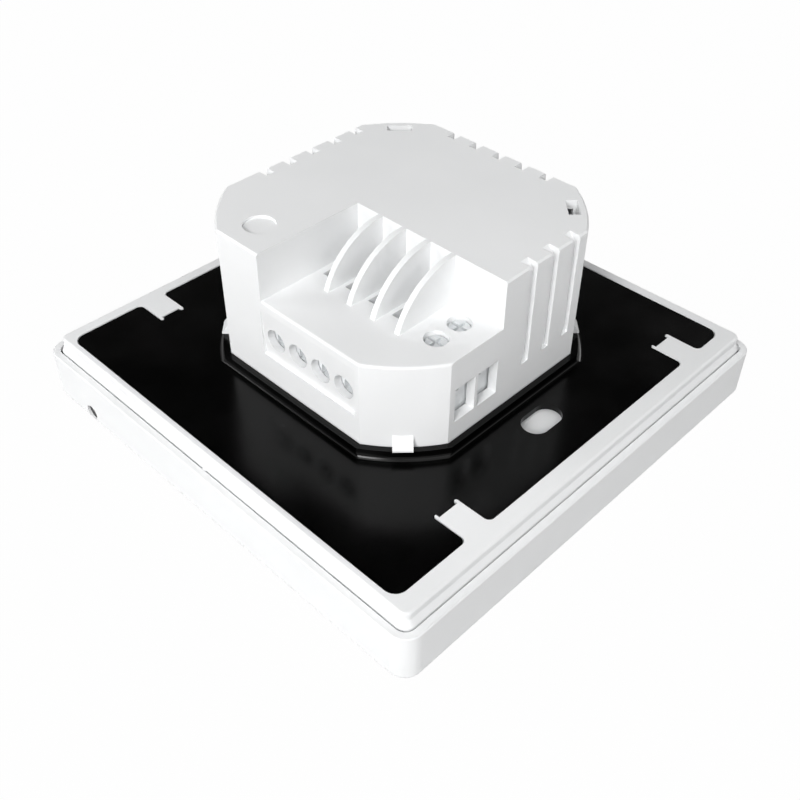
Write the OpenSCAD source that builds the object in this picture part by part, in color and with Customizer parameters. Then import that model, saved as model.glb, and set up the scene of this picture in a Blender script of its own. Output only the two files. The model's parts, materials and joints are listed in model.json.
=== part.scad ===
// Wall thermostat with a wireless link, lying on its front face, rear side up.
// The frame's origin is the centre of the front face, +Z comes out of the rear,
// -Y is the lower edge in use and the wires enter through the -Y and +X walls.

/* [Front casing] */
// Width and height of the front casing
casing_w = 86; // [84:0.5:92]
// Height of the casing's side wall up to its ledge
casing_side_h = 9.4; // [9:0.1:12]
// Radius of the casing's upright corners
casing_corner_r = 3; // [2.5:0.1:4]
// Radius of the casing's front edge
casing_edge_r = 1.1; // [0.6:0.1:1.2]
// Width of the ledge, which is also the wall beside the seam
ledge_w = 1.2; // [1:0.1:1.6]
// Wall of the casing below the seat of the rear cover
casing_wall = 2; // [1.8:0.1:2.4]
// Thickness of the casing's front wall, behind the glass
front_wall = 1.2; // [1:0.1:1.4]
// Thickness of the front glass
glass_t = 1.1; // [0.8:0.1:1.2]
// How far the glass stands proud of the casing's front lip
glass_proud = 0.15; // [0.1:0.05:0.3]
// Width of the front lip round the glass
front_lip = 1.55; // [1.5:0.05:2]
// Radius of the hole that lets room air reach the air sensor
air_hole_r = 1.4; // [1:0.1:1.6]
// Height of the air hole above the front face
air_hole_z = 2.1; // [2:0.1:2.6]
// Distance of the air hole from the casing's -X side
air_hole_in = 11.8; // [10:0.2:14]

/* [Rear cover] */
// Height of the rear cover's face above the front face
cover_top_z = 12; // [11.8:0.1:13]
// Width of the seam between the casing and the rear cover
seam_w = 0.3; // [0.2:0.05:0.4]
// How far the cover's outer wall stands in from its skirt
cover_set_in = 0.5; // [0.3:0.1:0.8]
// Height of the sloped foot of the cover's outer wall
cover_slope_h = 1.25; // [0.8:0.05:1.5]
// Radius of the cover's upper edge
cover_edge_r = 0.45; // [0.3:0.05:0.6]
// Thickness of the cover's floor under the steel plate
cover_floor_t = 1.3; // [1.1:0.1:1.5]
// Depth of the pockets under the wall screw slots
head_pocket_depth = 0.8; // [0.6:0.1:1.2]
// Width of the key that bridges the seam at the lower edge
seam_key_w = 0.7; // [0.5:0.1:1.5]
// Place of the seam key along the lower edge
seam_key_x = -0.55; // [-2:0.05:2]

/* [Steel plate] */
// Width of the steel plate
plate_w = 76.6; // [75:0.2:77]
// Height of the steel plate
plate_h = 78.7; // [78:0.1:79]
// How far the plate's outline and notches sit off the middle along X
plate_shift_x = -0.35; // [-0.4:0.05:0]
// How far the plate's outline sits off the middle along Y
plate_shift_y = -0.4; // [-0.4:0.05:0]
// Thickness of the sheet
plate_t = 1; // [0.8:0.1:1.2]
// How far the plate's face lies below the cover's face
plate_drop = 0.1; // [0.05:0.05:0.3]
// Radius of the plate's corners
plate_corner_r = 2; // [1.5:0.1:2.5]
// Height of the collar above the plate's face
collar_h = 1.75; // [1.5:0.05:2.2]
// Outer bend radius at the foot of the collar's curved strips
collar_bend_r = 0.9; // [0.6:0.1:1]
// Outer bend radius at the foot of the collar's straight strips
collar_side_bend_r = 0.45; // [0.3:0.05:0.8]
// Distance between the two wall screw slots
wall_pitch = 60; // [59:0.1:61]
// Width of a wall screw slot
wall_slot_w = 4.6; // [4.2:0.1:4.8]
// Length of a wall screw slot
wall_slot_l = 7.6; // [7:0.1:9]
// Offset of the wall screw slots from the middle
wall_slot_y = 0.6; // [0:0.1:1]
// Width of a notch in the plate's edge
notch_w = 5; // [4.6:0.1:6]
// Distance from the plate's middle to a tongue's bend
tongue_x = 32.75; // [32.5:0.05:33.5]
// Width of a bent tongue
tongue_w = 3.2; // [2.8:0.1:3.4]
// Length of a bent tongue below the plate
tongue_l = 2.5; // [2:0.1:2.8]
// Place of the lower pair of notches
notch_low_y = -23.6; // [-25:0.2:-22]
// Place of the upper pair of notches
notch_high_y = 30; // [28:0.2:32]

/* [Power box] */
// Width of the power box
box_w = 48.8; // [48.4:0.2:49.4]
// Depth of the power box along the Y axis
box_d = 48.4; // [48:0.2:49]
// Radius of the round that cuts off the box's corners
box_round_r = 28.6; // [28.4:0.1:29]
// Height of the box's end above the cover's face
box_rise = 25.1; // [24.6:0.1:30]
// Wall of the power box
box_wall = 1.6; // [1.4:0.1:1.8]
// How far the terminal step lies below the box's end
step_drop = 8.3; // [8:0.1:9]
// Place of the step's side wall
step_x = -5.8; // [-6:0.1:-5.7]
// Place of the step's back wall
step_y = -3.8; // [-4.2:0.1:-3.6]
// Chamfer on the box's end
box_edge = 0.3; // [0.25:0.05:0.7]
// Depth of the shallow round recess in the box's end
dimple_depth = 0.45; // [0.3:0.05:0.6]
// Round on the outer edge of the step
step_edge_r = 0.4; // [0.3:0.1:1]
// Radius of the curved edge of a fin
fin_r = 12.5; // [12:0.1:13]
// Thickness of a fin
fin_t = 0.95; // [0.8:0.05:1.1]
// Width of a vent channel
vent_w = 1.7; // [1.4:0.1:2.2]
// Depth of a vent channel
vent_depth = 0.8; // [0.6:0.05:1.1]
// Depth of a vent channel at its flared top
vent_mouth = 2; // [1.8:0.05:2.3]
// Distance between vent channels
vent_pitch = 5; // [4.5:0.1:5]
// Height of a vent channel's foot above the cover's face
vent_foot = 7.1; // [6.5:0.1:9]
// Height of a corner lug
lug_h = 2.2; // [1.8:0.1:2.6]
// Width of a corner lug
lug_w = 3.1; // [2.5:0.1:4]
// How far a corner lug reaches over the collar
lug_out = 1.35; // [1:0.05:1.45]
// Thickness of the flange under the steel plate
flange_t = 1; // [0.8:0.1:1]
// How far the flange is cut back beside the wall screw slots
slot_relief = 1; // [0.8:0.1:1]

/* [Terminals] */
// Distance between neighbouring terminals
term_pitch = 5; // [5:0.05:5.1]
// Place of the first mains terminal
mains_x0 = -3.25; // [-3.4:0.05:-3.2]
// Place of the mains terminal screws
mains_screw_y = -10.2; // [-10.6:0.1:-10]
// Radius of a wire hole
wire_hole_r = 2; // [1.8:0.05:2.1]
// Height of the wire holes above the cover's face
wire_hole_rise = 10.4; // [10.2:0.1:10.6]
// Width of a screw opening
screw_slot_w = 2.6; // [2.4:0.1:2.8]
// Length of a screw opening
screw_slot_l = 5; // [4.5:0.1:5.2]
// Place of the sensor terminal screws
sensor_screw_x = 18.95; // [18.8:0.05:19]
// Middle between the two sensor terminals
sensor_mid_y = -9.75; // [-9.9:0.05:-9.5]
// Radius of the screw holes over the sensor terminals
sensor_hole_r = 1.9; // [1.7:0.1:2]
// How far the sensor screws' heads lie below the step's face
sensor_head_drop = 0.6; // [0.4:0.1:1]
// Width of a sensor wire window
window_w = 4.4; // [4.2:0.1:4.5]
// Height of a sensor wire window
window_h = 6.3; // [6:0.1:6.6]
// How far the windows lie off their screws, towards the step's back wall
window_shift = 0.65; // [0.4:0.05:0.7]
// Height of a sensor wire window's sill above the cover's face
window_sill = 5; // [4.8:0.1:5.2]
// Radius of a terminal screw's thread
thread_r = 1.25; // [1:0.05:1.3]
// Radius of a terminal screw's head
head_r = 1.8; // [1.6:0.05:1.9]
// Height of a terminal screw's head
head_h = 1; // [0.8:0.1:1]
// How far a clamp rises from open to closed
clamp_travel = 1.4; // [1.2:0.1:1.6]
// Width of a clamp
clamp_w = 3.9; // [3.6:0.1:3.9]
// Length of a clamp along its wire
clamp_l = 4.8; // [4.2:0.1:4.9]
// Metal thickness of a clamp
clamp_t = 0.7; // [0.6:0.05:0.8]
// Room for the wire in an open clamp
wire_room = 2.8; // [2.4:0.1:2.9]

/* [Electronics] */
// Distance of the display board's edge from the casing's side
board_inset = 9.5; // [9.5:0.25:12]
// Thickness of the display board
board_t = 1.2; // [1:0.1:1.2]
// Thickness of the power board
power_board_t = 1.6; // [1.4:0.1:1.8]
// Width of the display window
display_w = 50; // [44:1:52]
// Height of the display window
display_h = 34; // [28:1:36]
// Middle of the display above the middle of the front
display_y = 6; // [4:0.5:8]
// Thickness of the display's glass
display_t = 1.6; // [1.2:0.1:1.7]
// Number of touch keys
key_count = 5; // [3:1:5]
// Distance between touch keys
key_pitch = 12; // [10:0.5:13]
// Radius of a touch key's pad
key_r = 4; // [3:0.25:4.5]
// Distance of the touch keys' row from the lower screw posts
key_row_gap = 7; // [6.5:0.25:8]
// Number of pins between the two boards
pin_count = 8; // [4:1:9]
// Length of the relay
relay_l = 18.4; // [16:0.2:19]
// Width of the relay
relay_w = 10.2; // [9:0.2:10.6]
// Height of the relay
relay_h = 15.3; // [12:0.1:17]
// Width of the transformer's core
core_w = 13; // [11:0.5:14]

/* [Fits] */
// Gap round the glass
glass_gap = 0.15; // [0.1:0.05:0.2]
// Gap between the steel plate and the cover's rim
plate_gap = 0.15; // [0.1:0.05:0.25]
// Gap under the steel plate
seat_gap = 0.1; // [0.05:0.05:0.2]
// Gap between the power box and the collar
collar_gap = 0.15; // [0.1:0.05:0.2]
// Gap round parts that slide out of each other
slide_gap = 0.3; // [0.2:0.05:0.35]
// Radial gap of a thread that turns
thread_gap = 0.08; // [0.04:0.01:0.1]
// Gap round parts inside a housing
inner_gap = 0.2; // [0.1:0.05:0.25]

/* [Hidden] */
$fn = 64;
eps = 0.01;
big = 200;
half = casing_w / 2;
board_w = casing_w - 2 * board_inset;
air_hole_x = half - air_hole_in;

// Heights of the front unit
lip_z = glass_proud;
wall_front_z = glass_t;
wall_back_z = glass_t + front_wall;
cover_seat_z = casing_side_h - 1.8;
cover_skirt_half = half - ledge_w - seam_w;
cover_wall_half = cover_skirt_half - cover_set_in;
plate_top_z = cover_top_z - plate_drop;
plate_bot_z = plate_top_z - plate_t;
cover_floor_top_z = plate_bot_z - seat_gap;
cover_floor_bot_z = cover_floor_top_z - cover_floor_t;
flange_bot_z = plate_bot_z - flange_t;
board_z = wall_back_z + 2.9;
board_top_z = board_z + board_t;

// Outlines of the power box, as half sizes and a round
box_hx = box_w / 2;
box_hy = box_d / 2;
box_top_z = cover_top_z + box_rise;
step_z = box_top_z - step_drop;
low_roof_z = step_z - box_wall;
collar_top_z = plate_top_z + collar_h;
flange_out = collar_gap + plate_t + collar_bend_r + 1.05;
lid_t = 1.2;
lid_top_z = flange_bot_z + lid_t;
power_board_z = lid_top_z + 2.3;
power_top_z = power_board_z + power_board_t;
roof_z = box_top_z - box_wall;

// Terminals, measured down from the roof over the step
head_top_z = low_roof_z - 0.1;
head_bot_z = head_top_z - head_h;
clamp_top_z = head_bot_z - 0.1 - clamp_travel;
bar_top_z = clamp_top_z - clamp_t - 0.1;
bar_t = 0.6;
bar_bot_z = bar_top_z - bar_t;
clamp_floor_z = bar_bot_z - wire_room;
clamp_bot_z = clamp_floor_z - clamp_t;
block_top_z = low_roof_z - inner_gap;
chamber_w = clamp_w + 0.2;
chamber_l = clamp_l + 0.4;
chamber_bot_z = clamp_bot_z - inner_gap;
bar_w = clamp_w - 2 * clamp_t - 0.3;
block_wall = 0.45;
mains_count = 4;
sensor_count = 2;
mains_front_y = -box_hy + box_wall + inner_gap;
mains_back_y = mains_screw_y + chamber_l / 2 + block_wall + 0.8;
sensor_front_x = box_hx - box_wall - 2 * inner_gap;
sensor_back_x = sensor_screw_x - chamber_l / 2 - block_wall - 0.3;
wire_hole_z = cover_top_z + wire_hole_rise;

// Bosses and screws
post_r = 2.4;
board_post = board_w / 2 - 3.5;
cover_post = half - casing_wall - post_r - 2.3;
key_y = -board_post + key_row_gap;
small_screw_r = 0.95;
pilot_gap = 0.05;
flat_head_r = 1.9;
lid_boss_r = 2.5;
lid_boss = (box_round_r - box_wall - inner_gap / 2 - flat_head_r - 0.3) / sqrt(2);

// Places of the parts on the two boards
header_y = 12;
pin_pitch = 2.54;
pin_w = 0.64;
header_l = pin_count * pin_pitch;
header_h = 2.5;
relay_x = -15;
relay_end_y = 4.6;
core_x = 9;
core_y = 11;

function mains_x(i) = mains_x0 + i * term_pitch;
function sensor_y(i) = sensor_mid_y + (i - (sensor_count - 1) / 2) * term_pitch;
function arc_pts(cx, cz, r, a0, a1, n = 6) =
    [for (i = [0 : n]) [cx + r * cos(a0 + (a1 - a0) * i / n), cz + r * sin(a0 + (a1 - a0) * i / n)]];

// A square block with round upright corners; pts lists [inset, height] up its side
module square_block(w, r, pts) {
    side = [for (p = pts) [w / 2 - p[0], p[1]]];
    turn = [for (p = pts) [r - p[0], p[1]]];
    low = pts[0][1];
    top = pts[len(pts) - 1][1];
    mirrored = [for (i = [len(side) - 1 : -1 : 0]) [-side[i][0], side[i][1]]];
    for (a = [0, 90])
        rotate([0, 0, a])
            rotate([90, 0, 0])
                linear_extrude(w - 2 * r, center = true)
                    polygon(concat(side, mirrored));
    for (sx = [-1, 1], sy = [-1, 1])
        translate([sx * (w / 2 - r), sy * (w / 2 - r), 0])
            rotate_extrude()
                polygon(concat([[0, low]], turn, [[0, top]]));
}

// A rectangle with round corners, extruded from z0 to z1
module rounded_plate(w, d, r, z0, z1) {
    translate([0, 0, z0])
        linear_extrude(z1 - z0)
            rounded_rect(w, d, r);
}

module rounded_rect(w, d, r) {
    square([w - 2 * r, d], center = true);
    square([w, d - 2 * r], center = true);
    for (sx = [-1, 1], sy = [-1, 1])
        translate([sx * (w / 2 - r), sy * (d / 2 - r)])
            circle(r);
}

// The power box's outline grown by out: a rectangle cut by a round
module box_outline(out = 0) {
    intersection() {
        square([2 * (box_hx + out), 2 * (box_hy + out)], center = true);
        circle(box_round_r + out);
    }
}

module box_prism(out, z0, z1) {
    translate([0, 0, z0])
        linear_extrude(z1 - z0)
            box_outline(out);
}

// The box's outline with its own profile on each side; each list is [growth, height]
module box_profile(x_pts, y_pts, r_pts) {
    intersection() {
        rotate([90, 0, 0])
            linear_extrude(big, center = true)
                polygon(both_sides(box_hx, x_pts));
        rotate([90, 0, 90])
            linear_extrude(big, center = true)
                polygon(both_sides(box_hy, y_pts));
        rotate_extrude()
            polygon(concat(
                [[0, r_pts[0][1]]],
                [for (p = r_pts) [box_round_r + p[0], p[1]]],
                [[0, r_pts[len(r_pts) - 1][1]]]));
    }
}

function both_sides(h, pts) = concat(
    [for (p = pts) [h + p[0], p[1]]],
    [for (i = [len(pts) - 1 : -1 : 0]) [-h - pts[i][0], pts[i][1]]]);

module bar(x0, x1, y0, y1, z0, z1) {
    translate([x0, y0, z0])
        cube([x1 - x0, y1 - y0, z1 - z0]);
}

module at_corners(x, y) {
    for (sx = [-1, 1], sy = [-1, 1])
        translate([sx * x, sy * y, 0])
            children();
}

module upright(r, z0, z1) {
    translate([0, 0, z0])
        cylinder(r = r, h = z1 - z0);
}

module front_casing() {
    r = casing_edge_r;
    outer = concat(
        [for (p = arc_pts(r, lip_z + r, r, -90, 0)) [2 * r - p[0], p[1]]],
        [[0, casing_side_h - 0.15], [0.15, casing_side_h]]);
    color("white")
    difference() {
        union() {
            difference() {
                square_block(casing_w, casing_corner_r, outer);
                rounded_plate(casing_w - 2 * casing_wall, casing_w - 2 * casing_wall,
                    1, wall_back_z, big);
                rounded_plate(casing_w - 2 * ledge_w, casing_w - 2 * ledge_w,
                    casing_corner_r - ledge_w, cover_seat_z, big);
            }
            at_corners(board_post, board_post)
                upright(post_r, wall_back_z - eps, board_z);
            at_corners(cover_post, cover_post)
                upright(post_r, wall_back_z - eps, cover_floor_bot_z);
        }
        glass_w = casing_w - 2 * front_lip;
        rounded_plate(glass_w, glass_w, casing_corner_r - front_lip + 0.2, -1, wall_front_z);
        translate([0, display_y, 0])
            rounded_plate(display_w, display_h, 1, -1, wall_back_z + 1);
        touch_places()
            upright(key_r + slide_gap, -1, wall_back_z + 1);
        at_corners(board_post, board_post)
            upright(small_screw_r + pilot_gap, wall_back_z + 0.3, board_z + 1);
        at_corners(cover_post, cover_post)
            upright(small_screw_r + pilot_gap, wall_back_z + 0.8, cover_floor_bot_z + 1);
        translate([-air_hole_x, 0, air_hole_z])
            rotate([90, 0, 0])
                cylinder(r = air_hole_r, h = half + 1);
        bar(-air_hole_x - 3, -air_hole_x + 3, -half + casing_wall - eps, -half + casing_wall + 4,
            air_hole_z - 0.3, wall_back_z + eps);
    }
}

module front_glass() {
    w = casing_w - 2 * (front_lip + glass_gap);
    c = 0.25;
    color("whitesmoke")
        square_block(w, casing_corner_r - front_lip, [[c, 0], [0, c], [0, glass_t]]);
}

module touch_places() {
    for (i = [0 : key_count - 1])
        translate([(i - (key_count - 1) / 2) * key_pitch, key_y, 0])
            children();
}

module display_glass() {
    w = display_w + 6;
    h = display_h + 6;
    color("dimgray")
        translate([0, display_y, 0])
            bar(-w / 2, w / 2, -h / 2, h / 2, wall_back_z, wall_back_z + display_t);
}

module backlight_guide() {
    w = display_w + 6;
    h = display_h + 2;
    color("ivory")
        translate([0, display_y + 2, 0])
            bar(-w / 2, w / 2, -h / 2, h / 2, wall_back_z + display_t, board_z);
}

module contact_strip() {
    y = display_y - display_h / 2 - 2.2;
    color("dimgray")
        bar(-display_w / 2, display_w / 2, y - 0.7, y + 0.7, wall_back_z + display_t, board_z);
}

module backlight_leds() {
    color("white")
        for (s = [-1, 1])
            translate([s * (display_w / 2 + 3.8), display_y, 0])
                bar(-0.6, 0.6, -1.5, 1.5, board_z - 1, board_z);
}

module display_board() {
    color("darkgreen")
    difference() {
        rounded_plate(board_w, board_w, 1.5, board_z, board_top_z);
        at_corners(board_post, board_post)
            upright(small_screw_r + 0.15, board_z - 1, board_top_z + 1);
    }
}

module control_chip() {
    color("black")
        translate([-16, -2, 0]) {
            bar(-3.5, 3.5, -3.5, 3.5, board_top_z + 0.1, board_top_z + 1.5);
            bar(-4.5, 4.5, -2.9, 2.9, board_top_z, board_top_z + 0.3);
            bar(-2.9, 2.9, -4.5, 4.5, board_top_z, board_top_z + 0.3);
        }
}

module radio_module() {
    color("silver")
        translate([14, -12, 0]) {
            bar(-8, 8, -12, 12, board_top_z, board_top_z + 0.8);
            bar(-7, 7, -11, 5, board_top_z + 0.8 - eps, board_top_z + 2.6);
        }
}

module touch_pads() {
    color("dimgray")
        touch_places()
            upright(key_r, wall_front_z, board_z);
}

module air_sensor() {
    bead_y = -half + casing_wall + 2.2;
    z = board_z - 1.6;
    color("black")
        translate([-air_hole_x, bead_y, z]) {
            sphere(1.1);
            for (s = [-1, 1])
                translate([s * 0.6, 0, 0]) {
                    rotate([-90, 0, 0])
                        cylinder(r = 0.25, h = -board_w / 2 - bead_y + 1);
                    translate([0, -board_w / 2 - bead_y + 0.8, 0])
                        cylinder(r = 0.25, h = board_z - z);
                }
        }
}

module pin_header() {
    color("black")
        translate([0, header_y, 0]) {
            bar(-header_l / 2, header_l / 2, -1.25, 1.25, board_top_z, board_top_z + header_h);
            for (i = [0 : pin_count - 1])
                translate([(i - (pin_count - 1) / 2) * pin_pitch, 0, 0])
                    bar(-pin_w / 2, pin_w / 2, -pin_w / 2, pin_w / 2,
                        board_top_z + header_h - eps, power_board_z - 0.4);
        }
}

// A small pan head screw that points down into its post
module pan_screw(z, length) {
    difference() {
        union() {
            upright(small_screw_r, z - length, z + eps);
            translate([0, 0, z])
                cylinder(r1 = 1.9, r2 = 1.5, h = 1.2);
        }
        for (a = [0, 90])
            rotate([0, 0, a])
                bar(-1.1, 1.1, -0.2, 0.2, z + 0.6, z + 2);
    }
}

module board_screws() {
    color("silver")
        at_corners(board_post, board_post)
            pan_screw(board_top_z, board_top_z - wall_back_z - 0.5);
}

module notch_places() {
    for (s = [-1, 1], y = [notch_low_y, notch_high_y])
        translate([plate_shift_x, y, 0])
            mirror([s < 0 ? 1 : 0, 0, 0])
                children();
}

// One notch in the plate's edge, drawn on the +X side, shrunk by gap
module notch_shape(gap = 0) {
    relief_w = (notch_w - tongue_w) / 2;
    relief_tip = tongue_x - 0.7;
    edge = plate_w / 2;
    w = notch_w - 2 * gap;
    translate([tongue_x + gap, -w / 2])
        square([edge - tongue_x + 2, w]);
    for (s = [-1, 1])
        translate([0, s * (notch_w - relief_w) / 2]) {
            translate([relief_tip + relief_w / 2, -relief_w / 2 + gap])
                square([edge - relief_tip, relief_w - 2 * gap]);
            translate([relief_tip + relief_w / 2, 0])
                circle(relief_w / 2 - gap);
        }
    flare = 0.9;
    for (s = [-1, 1])
        difference() {
            translate([edge - flare + gap, s > 0 ? w / 2 - eps : -w / 2 - flare])
                square([flare + 1, flare + eps]);
            translate([edge - flare, s * (notch_w / 2 + flare)])
                circle(flare + gap);
        }
}

module plate_pocket(gap) {
    translate([plate_shift_x, plate_shift_y])
        rounded_rect(plate_w + 2 * gap, plate_h + 2 * gap, plate_corner_r + gap);
}

module rear_cover() {
    skirt = 2 * cover_skirt_half;
    r = casing_corner_r - ledge_w - seam_w + 0.3;
    e = cover_edge_r;
    in = cover_set_in;
    slope_z = casing_side_h + cover_slope_h;
    outer = concat(
        [[0, cover_seat_z], [0, casing_side_h], [in, slope_z]],
        [for (p = arc_pts(in + e, cover_top_z - e, e, 0, 90)) [2 * (in + e) - p[0], p[1]]]);
    lift = flange_out + slide_gap;
    pocket_z = cover_floor_top_z - head_pocket_depth;
    pocket_w = 2 * (wall_slot_w / 2 + 1.6);
    color("white")
    difference() {
        union() {
            difference() {
                square_block(skirt, r, outer);
                rounded_plate(skirt - 3, skirt - 3, 1, cover_seat_z - 1, cover_floor_bot_z);
                translate([0, 0, cover_floor_top_z])
                    linear_extrude(big)
                        difference() {
                            plate_pocket(plate_gap);
                            notch_places()
                                intersection() {
                                    notch_shape(plate_gap);
                                    translate([0, -big / 2])
                                        square(big);
                                }
                        }
            }
            for (s = [-1, 1])
                translate([s * wall_pitch / 2, wall_slot_y, 0])
                    bar(-pocket_w / 2 - 1, pocket_w / 2 + 1, -wall_slot_l / 2 - 2.6,
                        wall_slot_l / 2 + 2.6, pocket_z - 1, cover_floor_bot_z + eps);
            bar(seam_key_x - seam_key_w / 2, seam_key_x + seam_key_w / 2,
                -cover_skirt_half - seam_w + 0.05, -cover_skirt_half + 0.3,
                casing_side_h - 1, casing_side_h);
        }
        difference() {
            box_prism(lift, 0, big);
            slot_reliefs(lift, slide_gap, pocket_z - 1);
        }
        for (s = [-1, 1])
            translate([s * wall_pitch / 2, wall_slot_y, 0])
                bar(-pocket_w / 2, pocket_w / 2, -wall_slot_l / 2 - 1.6, wall_slot_l / 2 + 1.6,
                    pocket_z, cover_floor_top_z + eps);
        notch_places()
            bar(tongue_x - plate_t - slide_gap, tongue_x + slide_gap,
                -tongue_w / 2 - slide_gap, tongue_w / 2 + slide_gap, 0, cover_floor_top_z + eps);
        notch_places()
            bar(tongue_x - plate_t - slide_gap, tongue_x + plate_gap,
                -tongue_w / 2 - slide_gap, tongue_w / 2 + slide_gap, 0, big);
        at_corners(cover_post, cover_post) {
            upright(small_screw_r + 0.15, 0, big);
            translate([0, 0, cover_floor_top_z - 1])
                cylinder(r1 = small_screw_r + 0.15, r2 = flat_head_r + 0.15, h = 1 + eps);
        }
    }
}

// Bars beside the wall screw slots, from the relief's edge outwards
module slot_reliefs(out, gap, z) {
    long = wall_slot_l / 2 + 2.6 - gap;
    for (a = [0, 180])
        rotate([0, 0, a])
            bar(box_hx + out - slot_relief, box_hx + out + 2, cos(a) * wall_slot_y - long,
                cos(a) * wall_slot_y + long, z, plate_bot_z + 1);
}

// A countersunk screw whose head ends at z
module flat_screw(z, length) {
    difference() {
        union() {
            upright(small_screw_r, z - length, z - 0.9);
            translate([0, 0, z - 0.95])
                cylinder(r1 = small_screw_r, r2 = flat_head_r, h = 0.95);
        }
        for (a = [0, 90])
            rotate([0, 0, a])
                bar(-1.1, 1.1, -0.2, 0.2, z - 0.5, z + 1);
    }
}

module cover_screws() {
    color("silver")
        at_corners(cover_post, cover_post)
            flat_screw(cover_floor_top_z, cover_floor_top_z - wall_back_z - 1);
}

module steel_plate() {
    color("black")
    difference() {
        union() {
            translate([0, 0, plate_bot_z])
                linear_extrude(plate_t)
                    difference() {
                        plate_pocket(0);
                        notch_places()
                            notch_shape();
                        for (s = [-1, 1])
                            translate([s * wall_pitch / 2, wall_slot_y])
                                slot_shape();
                    }
            box_profile(collar_outer(collar_side_bend_r), collar_outer(collar_side_bend_r),
                collar_outer(collar_bend_r));
            notch_places()
                tongue();
        }
        box_profile(collar_inner(collar_side_bend_r), collar_inner(collar_side_bend_r),
            collar_inner(collar_bend_r));
    }
}

// Outer side of a bent strip with the given bend radius, as [growth, height]
function collar_outer(r) = concat(
    [[collar_gap + plate_t + r, plate_bot_z], [collar_gap + plate_t + r, plate_top_z]],
    arc_pts(collar_gap + plate_t + r, plate_top_z + r, r, 270, 180),
    [[collar_gap + plate_t, collar_top_z]]);

// Inner side of the same strip
function collar_inner(r) = concat(
    [[collar_gap + plate_t + r, plate_bot_z - 1]],
    arc_pts(collar_gap + plate_t + r, plate_bot_z + plate_t + r, plate_t + r, 270, 180),
    [[collar_gap, collar_top_z + 1]]);

module slot_shape() {
    r = wall_slot_w / 2;
    straight = wall_slot_l - wall_slot_w;
    square([wall_slot_w, straight], center = true);
    for (s = [-1, 1])
        translate([0, s * straight / 2])
            circle(r);
}

module tongue() {
    bar(tongue_x - plate_t, tongue_x, -tongue_w / 2, tongue_w / 2,
        plate_bot_z - tongue_l, plate_bot_z + eps);
}

module power_box() {
    e = box_edge;
    top = [[0, plate_bot_z], [0, box_top_z - e], [-e, box_top_z]];
    round_top = concat([[0, plate_bot_z]],
        [for (p = arc_pts(-step_edge_r, step_z - step_edge_r, step_edge_r, 0, 90)) p]);
    flat_top = [[0, plate_bot_z], [0, step_z]];
    color("white")
    difference() {
        union() {
            difference() {
                box_profile(top, top, top);
                bar(step_x, big, -big, step_y, step_z - 2, big);
                translate([-11.85, -18.55, box_top_z - dimple_depth])
                    cylinder(r = 2.6, h = 1);
                for (s = [-1, 1])
                    rotate([0, 0, 90 + 45 * s])
                        translate([box_round_r - 2.15, 0, 0])
                            bar(-0.95, 0.95, -2.15, 2.15, roof_z - 1, big);
            }
            intersection() {
                box_profile(flat_top, round_top, round_top);
                bar(step_x - eps, big, -big, step_y + eps, plate_bot_z, big);
            }
            intersection() {
                union()
                    for (i = [0 : mains_count - 1])
                        fin(mains_x(i) + term_pitch / 2);
                box_prism(0, step_z - 1, box_top_z);
            }
            lugs();
        }
        difference() {
            box_prism(-box_wall, 0, roof_z);
            bar(step_x - box_wall, big, -big, step_y + box_wall, low_roof_z, big);
            lid_bosses();
        }
        wall_openings();
        at_corners(lid_boss, lid_boss)
            upright(small_screw_r + pilot_gap, 0, lid_top_z + 8);
    }
}

// A fin between two terminal bays, an arc of a disc against the step's back wall
module fin(x) {
    intersection() {
        translate([x, step_y, box_top_z - fin_r])
            rotate([0, 90, 0])
                cylinder(r = fin_r, h = fin_t, center = true);
        bar(x - 1, x + 1, step_y - fin_r - 1, step_y + 0.5, step_z - 0.5, box_top_z - 0.02);
    }
}

module lugs() {
    z0 = collar_top_z + 0.05;
    for (a = [45 : 90 : 315])
        rotate([0, 0, a])
            rotate([90, 0, 0])
                linear_extrude(lug_w, center = true)
                    polygon([[box_round_r - 1, z0], [box_round_r + lug_out, z0],
                        [box_round_r + lug_out, z0 + 0.35], [box_round_r - 0.05, z0 + lug_h],
                        [box_round_r - 1, z0 + lug_h]]);
}

module lid_bosses() {
    at_corners(lid_boss, lid_boss)
        upright(lid_boss_r, lid_top_z, lid_top_z + 10);
}

module wall_openings() {
    // Wire holes and the tapered recess round them
    for (i = [0 : mains_count - 1])
        translate([mains_x(i), 0, wire_hole_z])
            rotate([90, 0, 0])
                cylinder(r = wire_hole_r, h = box_hy + 1);
    taper_foot = wire_hole_z - 3.8;
    taper_top = wire_hole_z + 4.9;
    translate([mains_x0 - 2.9, 0, 0])
        rotate([90, 0, 90])
            linear_extrude(mains_x(mains_count - 1) - mains_x0 + 5.6)
                polygon([[-box_hy - 1, taper_foot], [-box_hy + 0.55, taper_foot],
                    [-box_hy, taper_top], [-box_hy - 1, taper_top]]);
    // Openings over the screws
    for (i = [0 : mains_count - 1])
        translate([mains_x(i), mains_screw_y, 0])
            bar(-screw_slot_w / 2, screw_slot_w / 2, -screw_slot_l / 2, screw_slot_l / 2,
                low_roof_z - 1, step_z + 1);
    for (i = [0 : sensor_count - 1])
        translate([sensor_screw_x, sensor_y(i), 0])
            upright(sensor_hole_r, low_roof_z - 1, step_z + 1);
    // Windows for the sensor wires
    for (i = [0 : sensor_count - 1])
        translate([0, sensor_y(i) + window_shift, cover_top_z + window_sill])
            bar(box_hx - box_wall - 1, box_hx + 1, -window_w / 2, window_w / 2, 0, window_h);
    // Vent channels, open at the box's end
    for (i = [0 : 2])
        translate([box_hx, 2.15 + i * vent_pitch, 0])
            vent();
    for (i = [-2 : 2]) {
        translate([-box_hx, 2.5 + i * vent_pitch, 0])
            rotate([0, 0, 180])
                vent();
        translate([i * vent_pitch, box_hy, 0])
            rotate([0, 0, 90])
                vent();
    }
}

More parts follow.
